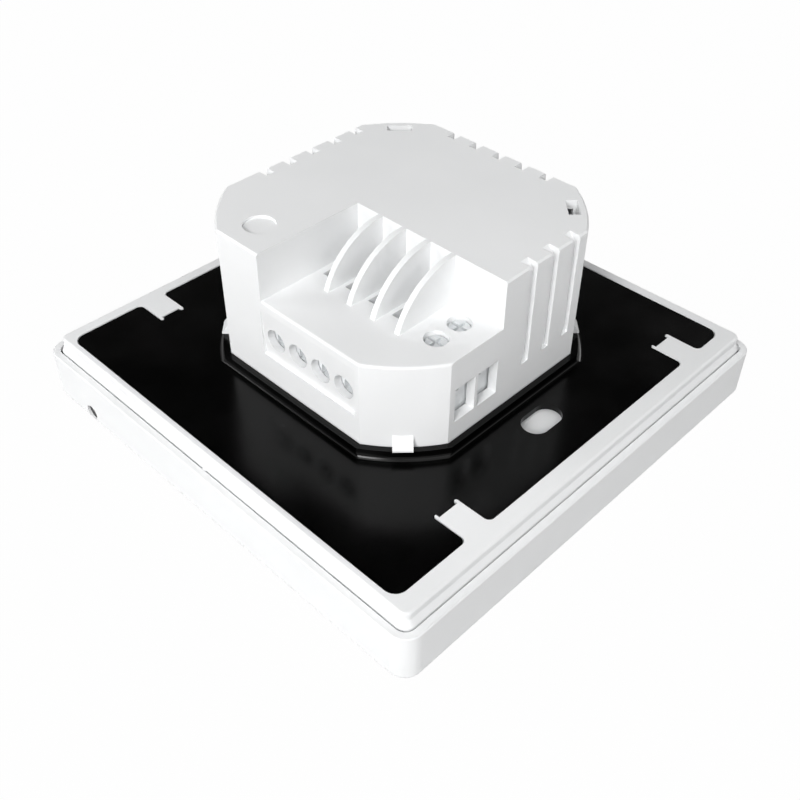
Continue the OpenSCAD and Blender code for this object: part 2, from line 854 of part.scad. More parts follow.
// A vent channel in a wall that faces +X, with a flared top
module vent() {
    vent_z = cover_top_z + vent_foot;
    translate([0, vent_w / 2, 0])
        rotate([90, 0, 0])
            linear_extrude(vent_w)
                polygon([[2, vent_z], [-vent_depth, vent_z], [-vent_depth, box_top_z - 1.5],
                    [-vent_mouth, box_top_z], [-vent_mouth, box_top_z + 2],
                    [2, box_top_z + 2]]);
}

// The lid's flange and the box's lugs hold the steel plate between them
module box_lid() {
    out = -box_wall - inner_gap / 2;
    color("white")
    difference() {
        union() {
            difference() {
                box_prism(flange_out, flange_bot_z, plate_bot_z);
                slot_reliefs(flange_out, 0, flange_bot_z - 1);
            }
            box_prism(out, plate_bot_z - eps, lid_top_z);
            at_corners(11, 19.5)
                upright(1.5, lid_top_z - eps, power_board_z);
        }
        translate([0, header_y, 0])
            bar(-header_l / 2 - 0.6, header_l / 2 + 0.6, -2, 2, 0, big);
        at_corners(lid_boss, lid_boss) {
            upright(small_screw_r + 0.15, 0, big);
            translate([0, 0, flange_bot_z - eps])
                cylinder(r1 = flat_head_r + 0.15, r2 = small_screw_r + 0.15, h = 1);
        }
    }
}

module lid_screws() {
    color("silver")
        at_corners(lid_boss, lid_boss)
            translate([0, 0, flange_bot_z])
                mirror([0, 0, 1])
                    flat_screw(0, 7);
}

module power_board() {
    color("darkgreen")
    difference() {
        box_prism(-box_wall - 0.4, power_board_z, power_top_z);
        at_corners(lid_boss, lid_boss)
            upright(lid_boss_r + 0.3, 0, big);
        for (i = [0 : mains_count - 1])
            translate([mains_x(i), mains_leg_y(), 0])
                bar(-bar_w / 2 - 0.2, bar_w / 2 + 0.2, -bar_t / 2 - 0.2, bar_t / 2 + 0.2, 0, big);
        for (i = [0 : sensor_count - 1])
            translate([sensor_leg_x(), sensor_y(i), 0])
                bar(-bar_t / 2 - 0.2, bar_t / 2 + 0.2, -bar_w / 2 - 0.2, bar_w / 2 + 0.2, 0, big);
    }
}

module pin_socket() {
    z0 = board_top_z + header_h + slide_gap;
    hole = pin_w + 2 * inner_gap;
    color("black")
        translate([0, header_y, 0])
            difference() {
                bar(-header_l / 2, header_l / 2, -1.5, 1.5, z0, power_board_z);
                for (i = [0 : pin_count - 1])
                    translate([(i - (pin_count - 1) / 2) * pin_pitch, 0, 0])
                        bar(-hole / 2, hole / 2, -hole / 2, hole / 2, z0 - 1, power_board_z - 0.2);
            }
}

module relay() {
    color("royalblue")
        translate([relay_x, relay_end_y - relay_l / 2, power_top_z]) {
            rounded_plate(relay_w, relay_l, 0.6, 0.3, relay_h);
            at_corners(relay_w / 2 - 1, relay_l / 2 - 1)
                upright(0.7, 0, 0.4);
        }
}

module transformer_core() {
    d = core_w * 0.46;
    h = core_w * 0.92;
    leg = core_w / 5;
    color("dimgray")
        translate([core_x, core_y, power_top_z + 1])
            difference() {
                bar(-core_w / 2, core_w / 2, -d / 2, d / 2, 0, h);
                for (s = [-1, 1])
                    translate([s * (core_w / 2 - leg / 2 - core_w * 0.16), 0, 0])
                        bar(-core_w * 0.13, core_w * 0.13, -d, d, leg * 0.7, h - leg * 0.7);
            }
}

module transformer_winding() {
    d = core_w * 0.46;
    h = core_w * 0.92;
    leg = core_w / 5;
    color("gold")
        translate([core_x, core_y, power_top_z])
            difference() {
                union() {
                    bar(-core_w / 2, core_w / 2, -d / 2 - 3, d / 2 + 3, 0, 0.9);
                    rounded_plate(core_w * 0.62, d + 4.4, 1.5, 0.9 - eps, 0.9 + h - leg * 0.9);
                }
                bar(-core_w, core_w, -d / 2 - 0.1, d / 2 + 0.1, 0.9, 1 + leg * 0.7 + 0.1);
                bar(-core_w, core_w, -d / 2 - 0.1, d / 2 + 0.1, h + 0.9 - leg * 0.7, h + 3);
                bar(-core_w * 0.12, core_w * 0.12, -d / 2 - 0.1, d / 2 + 0.1, 0.9, h + 3);
                for (s = [-1, 1])
                    translate([s * core_w * 0.5, 0, 0])
                        bar(-core_w * 0.24, core_w * 0.24, -d / 2 - 0.1, d / 2 + 0.1, 0.9, h + 3);
            }
}

// A standing can capacitor with a rubber foot
module can(r, h) {
    upright(r - 0.4, 0, 0.6);
    upright(r, 0.6 - eps, h - 0.3);
    translate([0, 0, h - 0.3 - eps])
        cylinder(r1 = r, r2 = r - 0.3, h = 0.3);
}

module main_capacitor() {
    color("midnightblue")
        translate([-6, 12.5, power_top_z])
            can(4, 13);
}

module output_capacitor() {
    color("midnightblue")
        translate([-15.2, 11.6, power_top_z])
            can(3.15, 11.5);
}

module film_capacitor() {
    color("gold")
        translate([1.5, 1.8, power_top_z])
            bar(-6.5, 6.5, -2.5, 2.5, 0, 11);
}

module surge_disc() {
    color("steelblue")
        translate([14.5, 1.6, power_top_z]) {
            translate([0, 0, 5.2])
                rotate([90, 0, 0])
                    cylinder(r = 4.5, h = 3.2, center = true);
            for (s = [-1, 1])
                translate([s * 2.5, 0, 0])
                    upright(0.4, 0, 3);
        }
}

module fuse_resistor() {
    color("seagreen")
        translate([-8, 4.6, power_top_z + 2]) {
            rotate([90, 0, 0])
                cylinder(r = 1.75, h = 6, center = true);
            for (s = [-1, 1]) {
                rotate([90, 0, 0])
                    cylinder(r = 0.35, h = 7.4, center = true);
                translate([0, s * 3.5, 0])
                    upright(0.35, -2, 0);
            }
        }
}

module choke() {
    color("dimgray")
        translate([-18.4, 6.8, power_top_z])
            upright(1.5, 0, 7);
}

module power_chip() {
    color("black")
        translate([19, 6.5, power_top_z]) {
            bar(-2, 2, -2.5, 2.5, 0.15, 1.6);
            bar(-3, 3, -2.2, 2.2, 0, 0.3);
        }
}

module opto_coupler() {
    color("black")
        translate([19, 12, power_top_z]) {
            bar(-1.6, 1.6, -2.3, 2.3, 0.6, 4);
            bar(-1.9, 1.9, -1.7, 1.7, 0, 1.6);
        }
}

module rectifier() {
    color("black")
        translate([0, 20.2, power_top_z]) {
            bar(-2.5, 2.5, -1.9, 1.9, 0.2, 2.6);
            bar(-3.2, 3.2, -1.3, 1.3, 0, 0.5);
        }
}

function mains_leg_y() = mains_back_y + inner_gap + bar_t / 2;
function sensor_leg_x() = sensor_back_x - inner_gap - bar_t / 2;

module mains_terminal_block() {
    x0 = mains_x(0) - chamber_w / 2 - block_wall;
    x1 = mains_x(mains_count - 1) + chamber_w / 2 + block_wall;
    color("gainsboro")
    difference() {
        bar(x0, x1, mains_front_y, mains_back_y, power_top_z, block_top_z);
        for (i = [0 : mains_count - 1])
            translate([mains_x(i), 0, 0]) {
                translate([0, mains_screw_y, 0])
                    bar(-chamber_w / 2, chamber_w / 2, -chamber_l / 2, chamber_l / 2,
                        chamber_bot_z, big);
                bar(-wire_room / 2, wire_room / 2, -box_hy, mains_screw_y,
                    clamp_floor_z, clamp_floor_z + wire_room + 0.1);
                bar(-bar_w / 2 - 0.1, bar_w / 2 + 0.1, mains_screw_y, big,
                    bar_bot_z - 0.1, bar_top_z + 0.1);
            }
    }
}

// One current bar with its leg to the power board, wire side towards -Y
module current_bar(y0, leg_y) {
    bar(-bar_w / 2, bar_w / 2, y0, leg_y + bar_t / 2, bar_bot_z, bar_top_z);
    bar(-bar_w / 2, bar_w / 2, leg_y - bar_t / 2, leg_y + bar_t / 2,
        power_board_z - 1, bar_top_z);
}

module mains_contacts() {
    color("goldenrod")
        for (i = [0 : mains_count - 1])
            translate([mains_x(i), 0, 0])
                current_bar(mains_screw_y - chamber_l / 2 + 0.2, mains_leg_y());
}

// A rising clamp in its open place, wire side towards -Y
module clamp_cage() {
    color("silver")
    difference() {
        bar(-clamp_w / 2, clamp_w / 2, -clamp_l / 2, clamp_l / 2, clamp_bot_z, clamp_top_z);
        bar(-clamp_w / 2 + clamp_t, clamp_w / 2 - clamp_t, -clamp_l, clamp_l,
            clamp_floor_z, clamp_top_z - clamp_t);
        upright(thread_r + thread_gap, clamp_top_z - clamp_t - 1, clamp_top_z + 1);
    }
}

module terminal_screw(r = head_r, top = head_top_z) {
    color("silver")
    difference() {
        union() {
            upright(thread_r, bar_top_z + 0.05, head_bot_z + eps);
            upright(r, head_bot_z, top - 0.2);
            translate([0, 0, top - 0.2 - eps])
                cylinder(r1 = r, r2 = r - 0.2, h = 0.2 + eps);
        }
        bar(-r - 1, r + 1, -0.25, 0.25, top - 0.55, big);
        bar(-0.25, 0.25, -1.2, 1.2, top - 0.55, big);
    }
}

module mains_clamp(i) {
    translate([mains_x(i), mains_screw_y, 0])
        clamp_cage();
}

module mains_screw(i) {
    translate([mains_x(i), mains_screw_y, 0])
        terminal_screw();
}

module sensor_terminal_block() {
    y0 = sensor_y(0) - chamber_w / 2 - 0.4;
    y1 = sensor_y(sensor_count - 1) + window_shift + window_w / 2 + 0.6;
    color("gainsboro")
    difference() {
        bar(sensor_back_x, sensor_front_x, y0, y1, power_top_z, block_top_z);
        for (i = [0 : sensor_count - 1])
            translate([0, sensor_y(i), 0]) {
                translate([sensor_screw_x, 0, 0])
                    bar(-chamber_l / 2, chamber_l / 2, -chamber_w / 2, chamber_w / 2,
                        chamber_bot_z, big);
                bar(sensor_screw_x, box_hx, -wire_room / 2, wire_room / 2,
                    clamp_floor_z, clamp_floor_z + wire_room + 0.1);
                bar(0, sensor_screw_x, -bar_w / 2 - 0.1, bar_w / 2 + 0.1,
                    bar_bot_z - 0.1, bar_top_z + 0.1);
            }
    }
}

module sensor_contacts() {
    color("goldenrod")
        for (i = [0 : sensor_count - 1])
            translate([sensor_screw_x, sensor_y(i), 0])
                rotate([0, 0, 90])
                    current_bar(-chamber_l / 2 + 0.2, sensor_screw_x - sensor_leg_x());
}

module sensor_clamp(i) {
    translate([sensor_screw_x, sensor_y(i), 0])
        rotate([0, 0, 90])
            clamp_cage();
}

module sensor_screw(i) {
    translate([sensor_screw_x, sensor_y(i), 0])
        terminal_screw(min(head_r, sensor_hole_r - 0.1), step_z - sensor_head_drop);
}

front_casing();
front_glass();
display_glass();
backlight_guide();
contact_strip();
backlight_leds();
display_board();
control_chip();
radio_module();
touch_pads();
air_sensor();
pin_header();
board_screws();
rear_cover();
cover_screws();
steel_plate();
power_box();
box_lid();
lid_screws();
power_board();
pin_socket();
relay();
transformer_core();
transformer_winding();
main_capacitor();
output_capacitor();
film_capacitor();
surge_disc();
fuse_resistor();
choke();
power_chip();
opto_coupler();
rectifier();
mains_terminal_block();
mains_contacts();
mains_clamp(0);  // mains_clamp_1
mains_clamp(1);  // mains_clamp_2
mains_clamp(2);  // mains_clamp_3
mains_clamp(3);  // mains_clamp_4
mains_screw(0);  // mains_screw_1
mains_screw(1);  // mains_screw_2
mains_screw(2);  // mains_screw_3
mains_screw(3);  // mains_screw_4
sensor_terminal_block();
sensor_contacts();
sensor_clamp(0);  // sensor_clamp_1
sensor_clamp(1);  // sensor_clamp_2
sensor_screw(0);  // sensor_screw_1
sensor_screw(1);  // sensor_screw_2
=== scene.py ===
import bpy
import json
from math import cos, pi, radians, sin
from mathutils import Matrix, Vector


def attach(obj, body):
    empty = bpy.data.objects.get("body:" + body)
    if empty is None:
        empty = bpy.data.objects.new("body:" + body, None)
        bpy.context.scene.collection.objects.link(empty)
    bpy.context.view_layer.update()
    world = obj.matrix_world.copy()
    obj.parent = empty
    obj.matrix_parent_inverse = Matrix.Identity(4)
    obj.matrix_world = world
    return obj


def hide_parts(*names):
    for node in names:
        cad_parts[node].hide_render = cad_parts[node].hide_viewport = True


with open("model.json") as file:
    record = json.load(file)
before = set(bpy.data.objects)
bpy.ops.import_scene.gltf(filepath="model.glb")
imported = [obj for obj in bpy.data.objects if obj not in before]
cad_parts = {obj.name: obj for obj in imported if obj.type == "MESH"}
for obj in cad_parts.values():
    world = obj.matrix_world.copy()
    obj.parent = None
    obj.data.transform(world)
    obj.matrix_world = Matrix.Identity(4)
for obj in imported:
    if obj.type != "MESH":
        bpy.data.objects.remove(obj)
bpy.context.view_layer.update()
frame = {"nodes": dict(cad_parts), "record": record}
nodes = frame["nodes"]

MM = 0.001
WHITE = (1.0, 1.0, 1.0, 1.0)

# Places in millimetres
BOARD = 6.4               # face of the display board
POWER = 15.0              # face of the power board
POWER_FOOT = 13.4         # its underside
RADIO_TOP = 7.2           # face of the radio module's own board
MAIN_CAN = (-6, 12.5)
OUTPUT_CAN = (-15.2, 11.6)
CONTROL_CHIP = (-16, -2)
AIR_HOLE = (-31.2, -42.54, 2.1)   # foot of the mesh in the air hole


# Shader wiring

class Wire:
    """A socket of a finish, with arithmetic that adds Math nodes."""

    def __init__(self, finish, socket):
        self.finish = finish
        self.socket = socket

    def maths(self, operation, *values):
        return self.finish.node("ShaderNodeMath", {"operation": operation}, dict(enumerate(values)))

    def __add__(self, other):
        return self.maths("ADD", self, other)

    def __radd__(self, other):
        return self.maths("ADD", other, self)

    def __sub__(self, other):
        return self.maths("SUBTRACT", self, other)

    def __rsub__(self, other):
        return self.maths("SUBTRACT", other, self)

    def __mul__(self, other):
        return self.maths("MULTIPLY", self, other)

    def __rmul__(self, other):
        return self.maths("MULTIPLY", other, self)

    def __truediv__(self, other):
        return self.maths("DIVIDE", self, other)

    def __abs__(self):
        return self.maths("ABSOLUTE", self)

    def __lt__(self, other):
        return self.maths("LESS_THAN", self, other)

    def __gt__(self, other):
        return self.maths("GREATER_THAN", self, other)

    def __mod__(self, other):
        return self.maths("FLOORED_MODULO", self, other)

    def larger(self, other):
        return self.maths("MAXIMUM", self, other)


class Finish:
    """A material under construction."""

    def __init__(self, name, material=None):
        self.material = material or bpy.data.materials.new(name)
        self.material.use_nodes = True
        self.tree = self.material.node_tree
        self.tree.nodes.clear()

    def node(self, kind, settings=None, inputs=None, output=0):
        """Adds a node: its settings first, then the values or links of its sockets."""
        node = self.tree.nodes.new(kind)
        for name, value in (settings or {}).items():
            if name == "stops":
                set_stops(node.color_ramp, value)
            else:
                setattr(node, name, value)
        for name, value in (inputs or {}).items():
            if isinstance(value, Wire):
                self.tree.links.new(value.socket, node.inputs[name])
            else:
                node.inputs[name].default_value = value
        return Wire(self, node.outputs[output])

    def place(self):
        """The place on the object, in millimetres, as x, y and z."""
        point = self.node("ShaderNodeTexCoord", output="Object")
        point = self.node("ShaderNodeVectorMath", {"operation": "SCALE"}, {0: point, "Scale": 1 / MM})
        parts = self.node("ShaderNodeSeparateXYZ", inputs={0: point}).socket.node
        return [Wire(self, parts.outputs[axis]) for axis in "XYZ"]

    def noise(self, size, detail=2.0, roughness=0.5, stretch=(1, 1, 1)):
        """Noise around 0.5 whose spots are about size millimetres across."""
        point = self.node("ShaderNodeTexCoord", output="Object")
        point = self.node("ShaderNodeMapping", inputs={"Vector": point, "Scale": stretch})
        return self.node("ShaderNodeTexNoise", inputs={
            "Vector": point, "Scale": 1 / (size * MM), "Detail": detail, "Roughness": roughness})

    def spread(self, value, low, high):
        """Turns noise around 0.5 into a value that runs from low to high."""
        return self.node("ShaderNodeMapRange", {"clamp": True}, {
            0: value, 1: 0.25, 2: 0.75, 3: low, 4: high})

    def blend(self, mask, first, second):
        """One colour where the mask is 0 and another where it is 1."""
        return self.node("ShaderNodeMix", {"data_type": "RGBA"}, {0: mask, 6: first, 7: second}, 2)

    def bump(self, height, depth, under=None):
        """A normal from a height between 0 and 1, depth millimetres deep."""
        inputs = {"Height": height, "Strength": 1.0, "Distance": depth * MM}
        if under:
            inputs["Normal"] = under
        return self.node("ShaderNodeBump", inputs=inputs)

    def patch(self, u, v, at_u, at_v, width, height):
        """1 inside a rectangle around a point, in millimetres."""
        return (abs(u - at_u) < width / 2) * (abs(v - at_v) < height / 2)

    def away(self, u, v, at_u, at_v):
        """The distance from a point, in millimetres."""
        du = u - at_u
        dv = v - at_v
        square = du * du + dv * dv
        return square.maths("SQRT", square)

    def spot(self, u, v, at_u, at_v, radius):
        return self.away(u, v, at_u, at_v) < radius

    def hoop(self, u, v, at_u, at_v, radius, width):
        return abs(self.away(u, v, at_u, at_v) - radius) < width / 2

    def done(self, colour, roughness, bump=None, **constants):
        """Ends the material with its one shader."""
        inputs = {"Base Color": colour, "Roughness": roughness}
        if bump:
            inputs["Normal"] = bump
        for name, value in constants.items():
            inputs[name.replace("_", " ").title().replace("Ior", "IOR")] = value
        shader = self.node("ShaderNodeBsdfPrincipled", inputs=inputs)
        self.end(shader)
        return self.material

    def end(self, shader):
        output = self.tree.nodes.new("ShaderNodeOutputMaterial")
        self.tree.links.new(shader.socket, output.inputs["Surface"])


def set_stops(ramp, stops):
    while len(ramp.elements) > 1:
        ramp.elements.remove(ramp.elements[-1])
    for number, (position, colour) in enumerate(stops):
        element = ramp.elements[0] if number == 0 else ramp.elements.new(position)
        element.position = position
        element.color = colour


def grey(level):
    return (level, level, level, 1.0)


# Finishes

def white_shell():
    f = Finish("white_shell")
    cloud = f.noise(14)
    grain = f.noise(0.28, 3)
    scuff = f.noise(3, 6, 0.7, (1, 1, 5))
    colour = f.blend(f.spread(cloud, 0, 1), (0.828, 0.836, 0.840, 1), (0.858, 0.864, 0.868, 1))
    gloss = f.spread(cloud, 0.42, 0.5) + (scuff > 0.72) * 0.06
    return f.done(colour, gloss, f.bump(grain, 0.005), specular_ior_level=0.35)


def black_steel():
    f = Finish("black_steel")
    peel = f.noise(0.9, 2)
    cloud = f.noise(9)
    rub = f.noise(0.35, 5, 0.65)
    colour = f.blend(f.spread(cloud, 0, 1), grey(0.0003), grey(0.0008))
    colour = f.blend((rub > 0.74) * 0.5, colour, grey(0.002))
    return f.done(colour, f.spread(cloud, 0.17, 0.24), f.bump(peel, 0.003), specular_ior_level=0.2)


def terminal_plastic():
    f = Finish("terminal_plastic")
    cloud = f.noise(5)
    grain = f.noise(0.2, 2)
    colour = f.blend(f.spread(cloud, 0, 1), (0.80, 0.82, 0.83, 1), (0.84, 0.86, 0.87, 1))
    return f.done(colour, f.spread(cloud, 0.4, 0.5), f.bump(grain, 0.004))


def terminal_steel():
    """Zinc plate, pale and half matt, with brushing and small dull spots."""
    f = Finish("terminal_steel")
    brushed = f.noise(0.25, 3, stretch=(1, 1, 6))
    spots = f.spread(f.noise(0.7, 3), 0, 1)
    colour = f.blend(f.spread(brushed, 0, 1), (0.66, 0.68, 0.69, 1), (0.72, 0.74, 0.75, 1))
    colour = f.blend(spots * 0.15, colour, (0.62, 0.64, 0.65, 1))
    return f.done(colour, f.spread(brushed, 0.42, 0.55), f.bump(brushed, 0.002), metallic=0.1)


def screw_steel():
    f = Finish("screw_steel")
    ring = f.noise(0.18, 2, stretch=(1, 1, 4))
    stain = f.spread(f.noise(1.4, 4), 0, 1)
    colour = f.blend(stain, (0.66, 0.67, 0.69, 1), (0.55, 0.55, 0.56, 1))
    return f.done(colour, f.spread(ring, 0.26, 0.42), f.bump(ring, 0.002), metallic=1.0)


def contact_brass():
    f = Finish("contact_brass")
    rolled = f.noise(0.3, 3, stretch=(5, 1, 1))
    tarnish = f.spread(f.noise(2.2, 4), 0, 1)
    colour = f.blend(tarnish, (0.80, 0.61, 0.28, 1), (0.62, 0.44, 0.18, 1))
    return f.done(colour, f.spread(rolled, 0.24, 0.4), f.bump(rolled, 0.002), metallic=1.0)


SMALL_ROW = -6.4      # height of the small setting on the display
SMALL_DIGIT = 2.2     # width of its digits
KEY_ROW = -23         # height of the five key marks
WINDOW_ROW = 6        # height of the window's middle

# Seven bars of a digit, as place and size in widths of the digit
DIGIT_BARS = {
    "top": (0, 1, 0.72, 0.16), "middle": (0, 0, 0.72, 0.16), "bottom": (0, -1, 0.72, 0.16),
    "left_up": (-0.48, 0.5, 0.16, 0.8), "right_up": (0.48, 0.5, 0.16, 0.8),
    "left_low": (-0.48, -0.5, 0.16, 0.8), "right_low": (0.48, -0.5, 0.16, 0.8),
}
LIT = {
    "0": ("top", "bottom", "left_up", "right_up", "left_low", "right_low"),
    "1": ("right_up", "right_low"),
    "2": ("top", "middle", "bottom", "right_up", "left_low"),
    "3": ("top", "middle", "bottom", "right_up", "right_low"),
    "5": ("top", "middle", "bottom", "left_up", "right_low"),
}


def digits_mask(f, u, v, number, left, middle, width):
    """The bars of a number, one digit after another from left, width millimetres wide each."""
    mask = None
    for place, digit in enumerate(number):
        for bar in LIT[digit]:
            x, y, w, h = (k * width for k in DIGIT_BARS[bar])
            lit = f.patch(u, v, left + place * width * 1.35 + x, middle + y, w, h)
            mask = lit if mask is None else mask.larger(lit)
    return mask


def screen_marks(f, u, v):
    """The temperature, its degree sign, the small setting, a line and five rising bars."""
    marks = digits_mask(f, u, v, "21", -15.5, 7.5, 8).larger(digits_mask(f, u, v, "5", 8.6, 5.6, 6))
    marks = marks.larger(f.patch(u, v, 2.4, 0.2, 1.5, 1.5))
    marks = marks.larger(f.hoop(u, v, 14.6, 15.6, 1.5, 0.8))
    for step in range(5):
        bar = f.patch(u, v, 10 + step * 2.2, -8.6 + step * 0.55, 1.3, 1.6 + step * 1.1)
        marks = marks.larger(bar)
    marks = marks.larger(digits_mask(f, u, v, "20", -20.5, SMALL_ROW, SMALL_DIGIT))
    return marks.larger(f.patch(u, v, 0, -3.2, 44, 0.25))


def display():
    """A dark liquid crystal panel with pale digits, read from the front."""
    f = Finish("display")
    x, y, z = f.place()
    u = -1 * x
    lines = f.noise(0.12, 2, stretch=(1, 8, 1))
    tenths = f.patch(u, y, -15.3, -8.4, 0.5, 0.5)
    tenths = tenths.larger(digits_mask(f, u, y, "0", -13.4, SMALL_ROW, SMALL_DIGIT))
    ink = screen_marks(f, u, y).larger(tenths)
    colour = f.blend(f.spread(f.noise(8), 0, 1), (0.014, 0.015, 0.017, 1), (0.022, 0.023, 0.027, 1))
    colour = f.blend(ink * (z < 2.6), colour, (0.62, 0.68, 0.70, 1))
    return f.done(colour, f.spread(lines, 0.08, 0.14), f.bump(lines, 0.0004))


def front_glass():
    """Glass printed white on its back, with a dark window and five grey key marks."""
    f = Finish("front_glass")
    x, y, z = f.place()
    u = -1 * x
    window = f.patch(u, y, 0, WINDOW_ROW, 49, 35).larger(f.patch(u, y, 0, WINDOW_ROW, 51, 33))
    for sx in (-1, 1):
        for sy in (-1, 1):
            window = window.larger(f.spot(u, y, sx * 24.5, WINDOW_ROW + sy * 16.5, 1))
    power = f.hoop(u, y, -24, KEY_ROW, 1.9, 0.45) * (1 - f.patch(u, y, -24, -21.2, 1.5, 1.6))
    power = power.larger(f.patch(u, y, -24, -21.6, 0.45, 1.8))
    minus = f.patch(u, y, -12, KEY_ROW, 3.4, 0.5)
    mode = f.hoop(u, y, 0, KEY_ROW, 1.9, 0.45).larger(f.spot(u, y, 0, KEY_ROW, 0.75))
    plus = f.patch(u, y, 12, KEY_ROW, 3.4, 0.5).larger(f.patch(u, y, 12, KEY_ROW, 0.5, 3.4))
    menu = f.patch(u, y, 24, -21.7, 3.6, 0.45).larger(f.patch(u, y, 24, KEY_ROW, 3.6, 0.45))
    menu = menu.larger(f.patch(u, y, 24, -24.3, 3.6, 0.45))
    marks = power.larger(minus).larger(mode).larger(plus).larger(menu)
    face = z < 0.3
    cloud = f.noise(20)
    colour = f.blend(f.spread(cloud, 0, 1), (0.80, 0.81, 0.81, 1), (0.82, 0.83, 0.83, 1))
    colour = f.blend(marks * face, colour, (0.28, 0.30, 0.32, 1))
    pane = f.spread(f.noise(8), 0, 1)
    dark = f.blend(pane, (0.014, 0.015, 0.017, 1), (0.020, 0.021, 0.025, 1))
    dark = f.blend(screen_marks(f, u, y), dark, (0.55, 0.60, 0.62, 1))
    colour = f.blend(window * face, colour, dark)
    return f.done(colour, f.spread(f.noise(6), 0.05, 0.09), f.bump(f.noise(11), 0.0006),
        coat_weight=0.5, coat_roughness=0.03)


def circuit_board():
    """Green solder mask over copper tracks, with round vias and white outlines."""
    f = Finish("circuit_board")
    x, y, _ = f.place()
    region = f.noise(9, 0) > 0.5
    sparse = f.noise(5.5, 0) > 0.44
    along = (abs(x % 1.27 - 0.635) < 0.16) * region
    across = (abs(y % 1.27 - 0.635) < 0.16) * (1 - region)
    track = along.larger(across) * sparse
    pour = f.noise(13, 1) > 0.56
    copper = track.larger(pour)
    from_via = ((x % 3.81 - 1.9) * (x % 3.81 - 1.9)) + ((y % 2.54 - 1.27) * (y % 2.54 - 1.27))
    some = f.noise(6, 0) > 0.53
    via = (from_via < 0.11) * some
    # The black middle of each via is painted shade, standing for the dark inside of its open hole.
    hole = (from_via < 0.025) * some
    print_line = f.hoop(x % 15.24, y % 12.7, 7.6, 6.3, 4.6, 0.18) * (f.noise(12, 0) > 0.55)
    mask_green = f.blend(f.spread(f.noise(3), 0, 1), (0.008, 0.085, 0.028, 1), (0.011, 0.105, 0.036, 1))
    colour = f.blend(copper, mask_green, (0.02, 0.19, 0.065, 1))
    colour = f.blend(print_line, colour, (0.75, 0.76, 0.74, 1))
    colour = f.blend(via, colour, (0.72, 0.55, 0.24, 1))
    # Painted shade of the via holes.
    colour = f.blend(hole, colour, (0.01, 0.01, 0.01, 1))
    height = copper * 0.6 + via * 0.3
    return f.done(colour, 0.34 + via * 0.05, f.bump(height, 0.02), metallic=0.0)


def chip_black():
    f = Finish("chip_black")
    mould = f.noise(0.16, 3)
    cloud = f.noise(2)
    colour = f.blend(f.spread(cloud, 0, 1), (0.016, 0.016, 0.018, 1), (0.026, 0.026, 0.029, 1))
    return f.done(colour, f.spread(mould, 0.5, 0.64), f.bump(mould, 0.006))


def radio_can():
    """A tinned can on a dark board."""
    f = Finish("radio_can")
    x, y, z = f.place()
    can = z > 7.22
    brushed = f.noise(0.3, 3, stretch=(6, 1, 1))
    tin = f.blend(f.spread(brushed, 0, 1), (0.60, 0.61, 0.62, 1), (0.70, 0.71, 0.72, 1))
    rim = (f.patch(x, y, 14, -15, 12.6, 14.6) < 0.5) * (z > 8.9)
    tin = f.blend(rim * 0.4, tin, (0.45, 0.46, 0.47, 1))
    pads = (abs(y % 1.5 - 0.75) < 0.4) * (abs(x - 14) > 7.1) * (1 - can)
    base = f.blend(pads, (0.012, 0.013, 0.016, 1), (0.74, 0.58, 0.26, 1))
    colour = f.blend(can, base, tin)
    gloss = f.spread(brushed, 0.26, 0.4)
    return f.done(colour, gloss, f.bump(brushed, 0.002), metallic=can.larger(pads))


def header_black():
    """Black header with gold pins above its body."""
    f = Finish("header_black")
    x, y, z = f.place()
    pin = (z > 8.92) * (f.patch(x % 2.54, y, 1.27, 12, 0.7, 0.7))
    mould = f.noise(0.3, 2)
    colour = f.blend(f.spread(mould, 0, 1), (0.014, 0.014, 0.015, 1), (0.024, 0.024, 0.026, 1))
    colour = f.blend(pin, colour, (0.80, 0.60, 0.25, 1))
    return f.done(colour, 0.5 - pin * 0.24, f.bump(mould, 0.003), metallic=pin)


def light_guide():
    """Milky plastic with rows of printed dots that spread the light."""
    f = Finish("light_guide")
    x, y, _ = f.place()
    dot = f.spot(x % 1.2, y % 1.2, 0.6, 0.6, 0.3)
    cloud = f.noise(8)
    colour = f.blend(f.spread(cloud, 0, 1), (0.74, 0.75, 0.73, 1), (0.80, 0.80, 0.78, 1))
    colour = f.blend(dot, colour, (0.90, 0.90, 0.88, 1))
    return f.done(colour, 0.2 + dot * 0.3, f.bump(dot, 0.01))


def rubber_strip():
    """Silicone strip with its fine conducting layers."""
    f = Finish("rubber_strip")
    x, y, _ = f.place()
    layer = x % 0.36 < 0.18
    core = abs(y + 13.2) < 0.35
    colour = f.blend(layer * core, (0.12, 0.12, 0.13, 1), (0.01, 0.01, 0.01, 1))
    colour = f.blend(core, (0.42, 0.30, 0.28, 1), colour)
    return f.done(colour, f.spread(f.noise(1), 0.6, 0.8), f.bump(layer * core, 0.01))


def winding_tape():
    """Amber tape in turns over a black bobbin."""
    f = Finish("winding_tape")
    z = f.place()[2]
    turn = z % 2.3 < 0.1
    wrinkle = f.noise(0.9, 3, stretch=(1, 1, 3))
    colour = f.blend(f.spread(wrinkle, 0, 1), (0.78, 0.52, 0.06, 1), (0.88, 0.63, 0.11, 1))
    colour = f.blend(turn, colour, (0.55, 0.34, 0.03, 1))
    bobbin = z < 15.92
    colour = f.blend(bobbin, colour, (0.016, 0.016, 0.017, 1))
    return f.done(colour, f.spread(wrinkle, 0.22, 0.36) + bobbin * 0.25,
        f.bump(wrinkle * 0.4 + (1 - turn) * 0.6, 0.04))


def ferrite():
    f = Finish("ferrite")
    pits = f.noise(0.22, 4, 0.65)
    z = f.place()[2]
    seam = abs(z - 22) < 0.06
    colour = f.blend(f.spread(f.noise(2), 0, 1), (0.032, 0.032, 0.035, 1), (0.055, 0.055, 0.058, 1))
    colour = f.blend(seam, colour, (0.16, 0.13, 0.09, 1))
    return f.done(colour, f.spread(pits, 0.5, 0.7), f.bump(pits, 0.03))


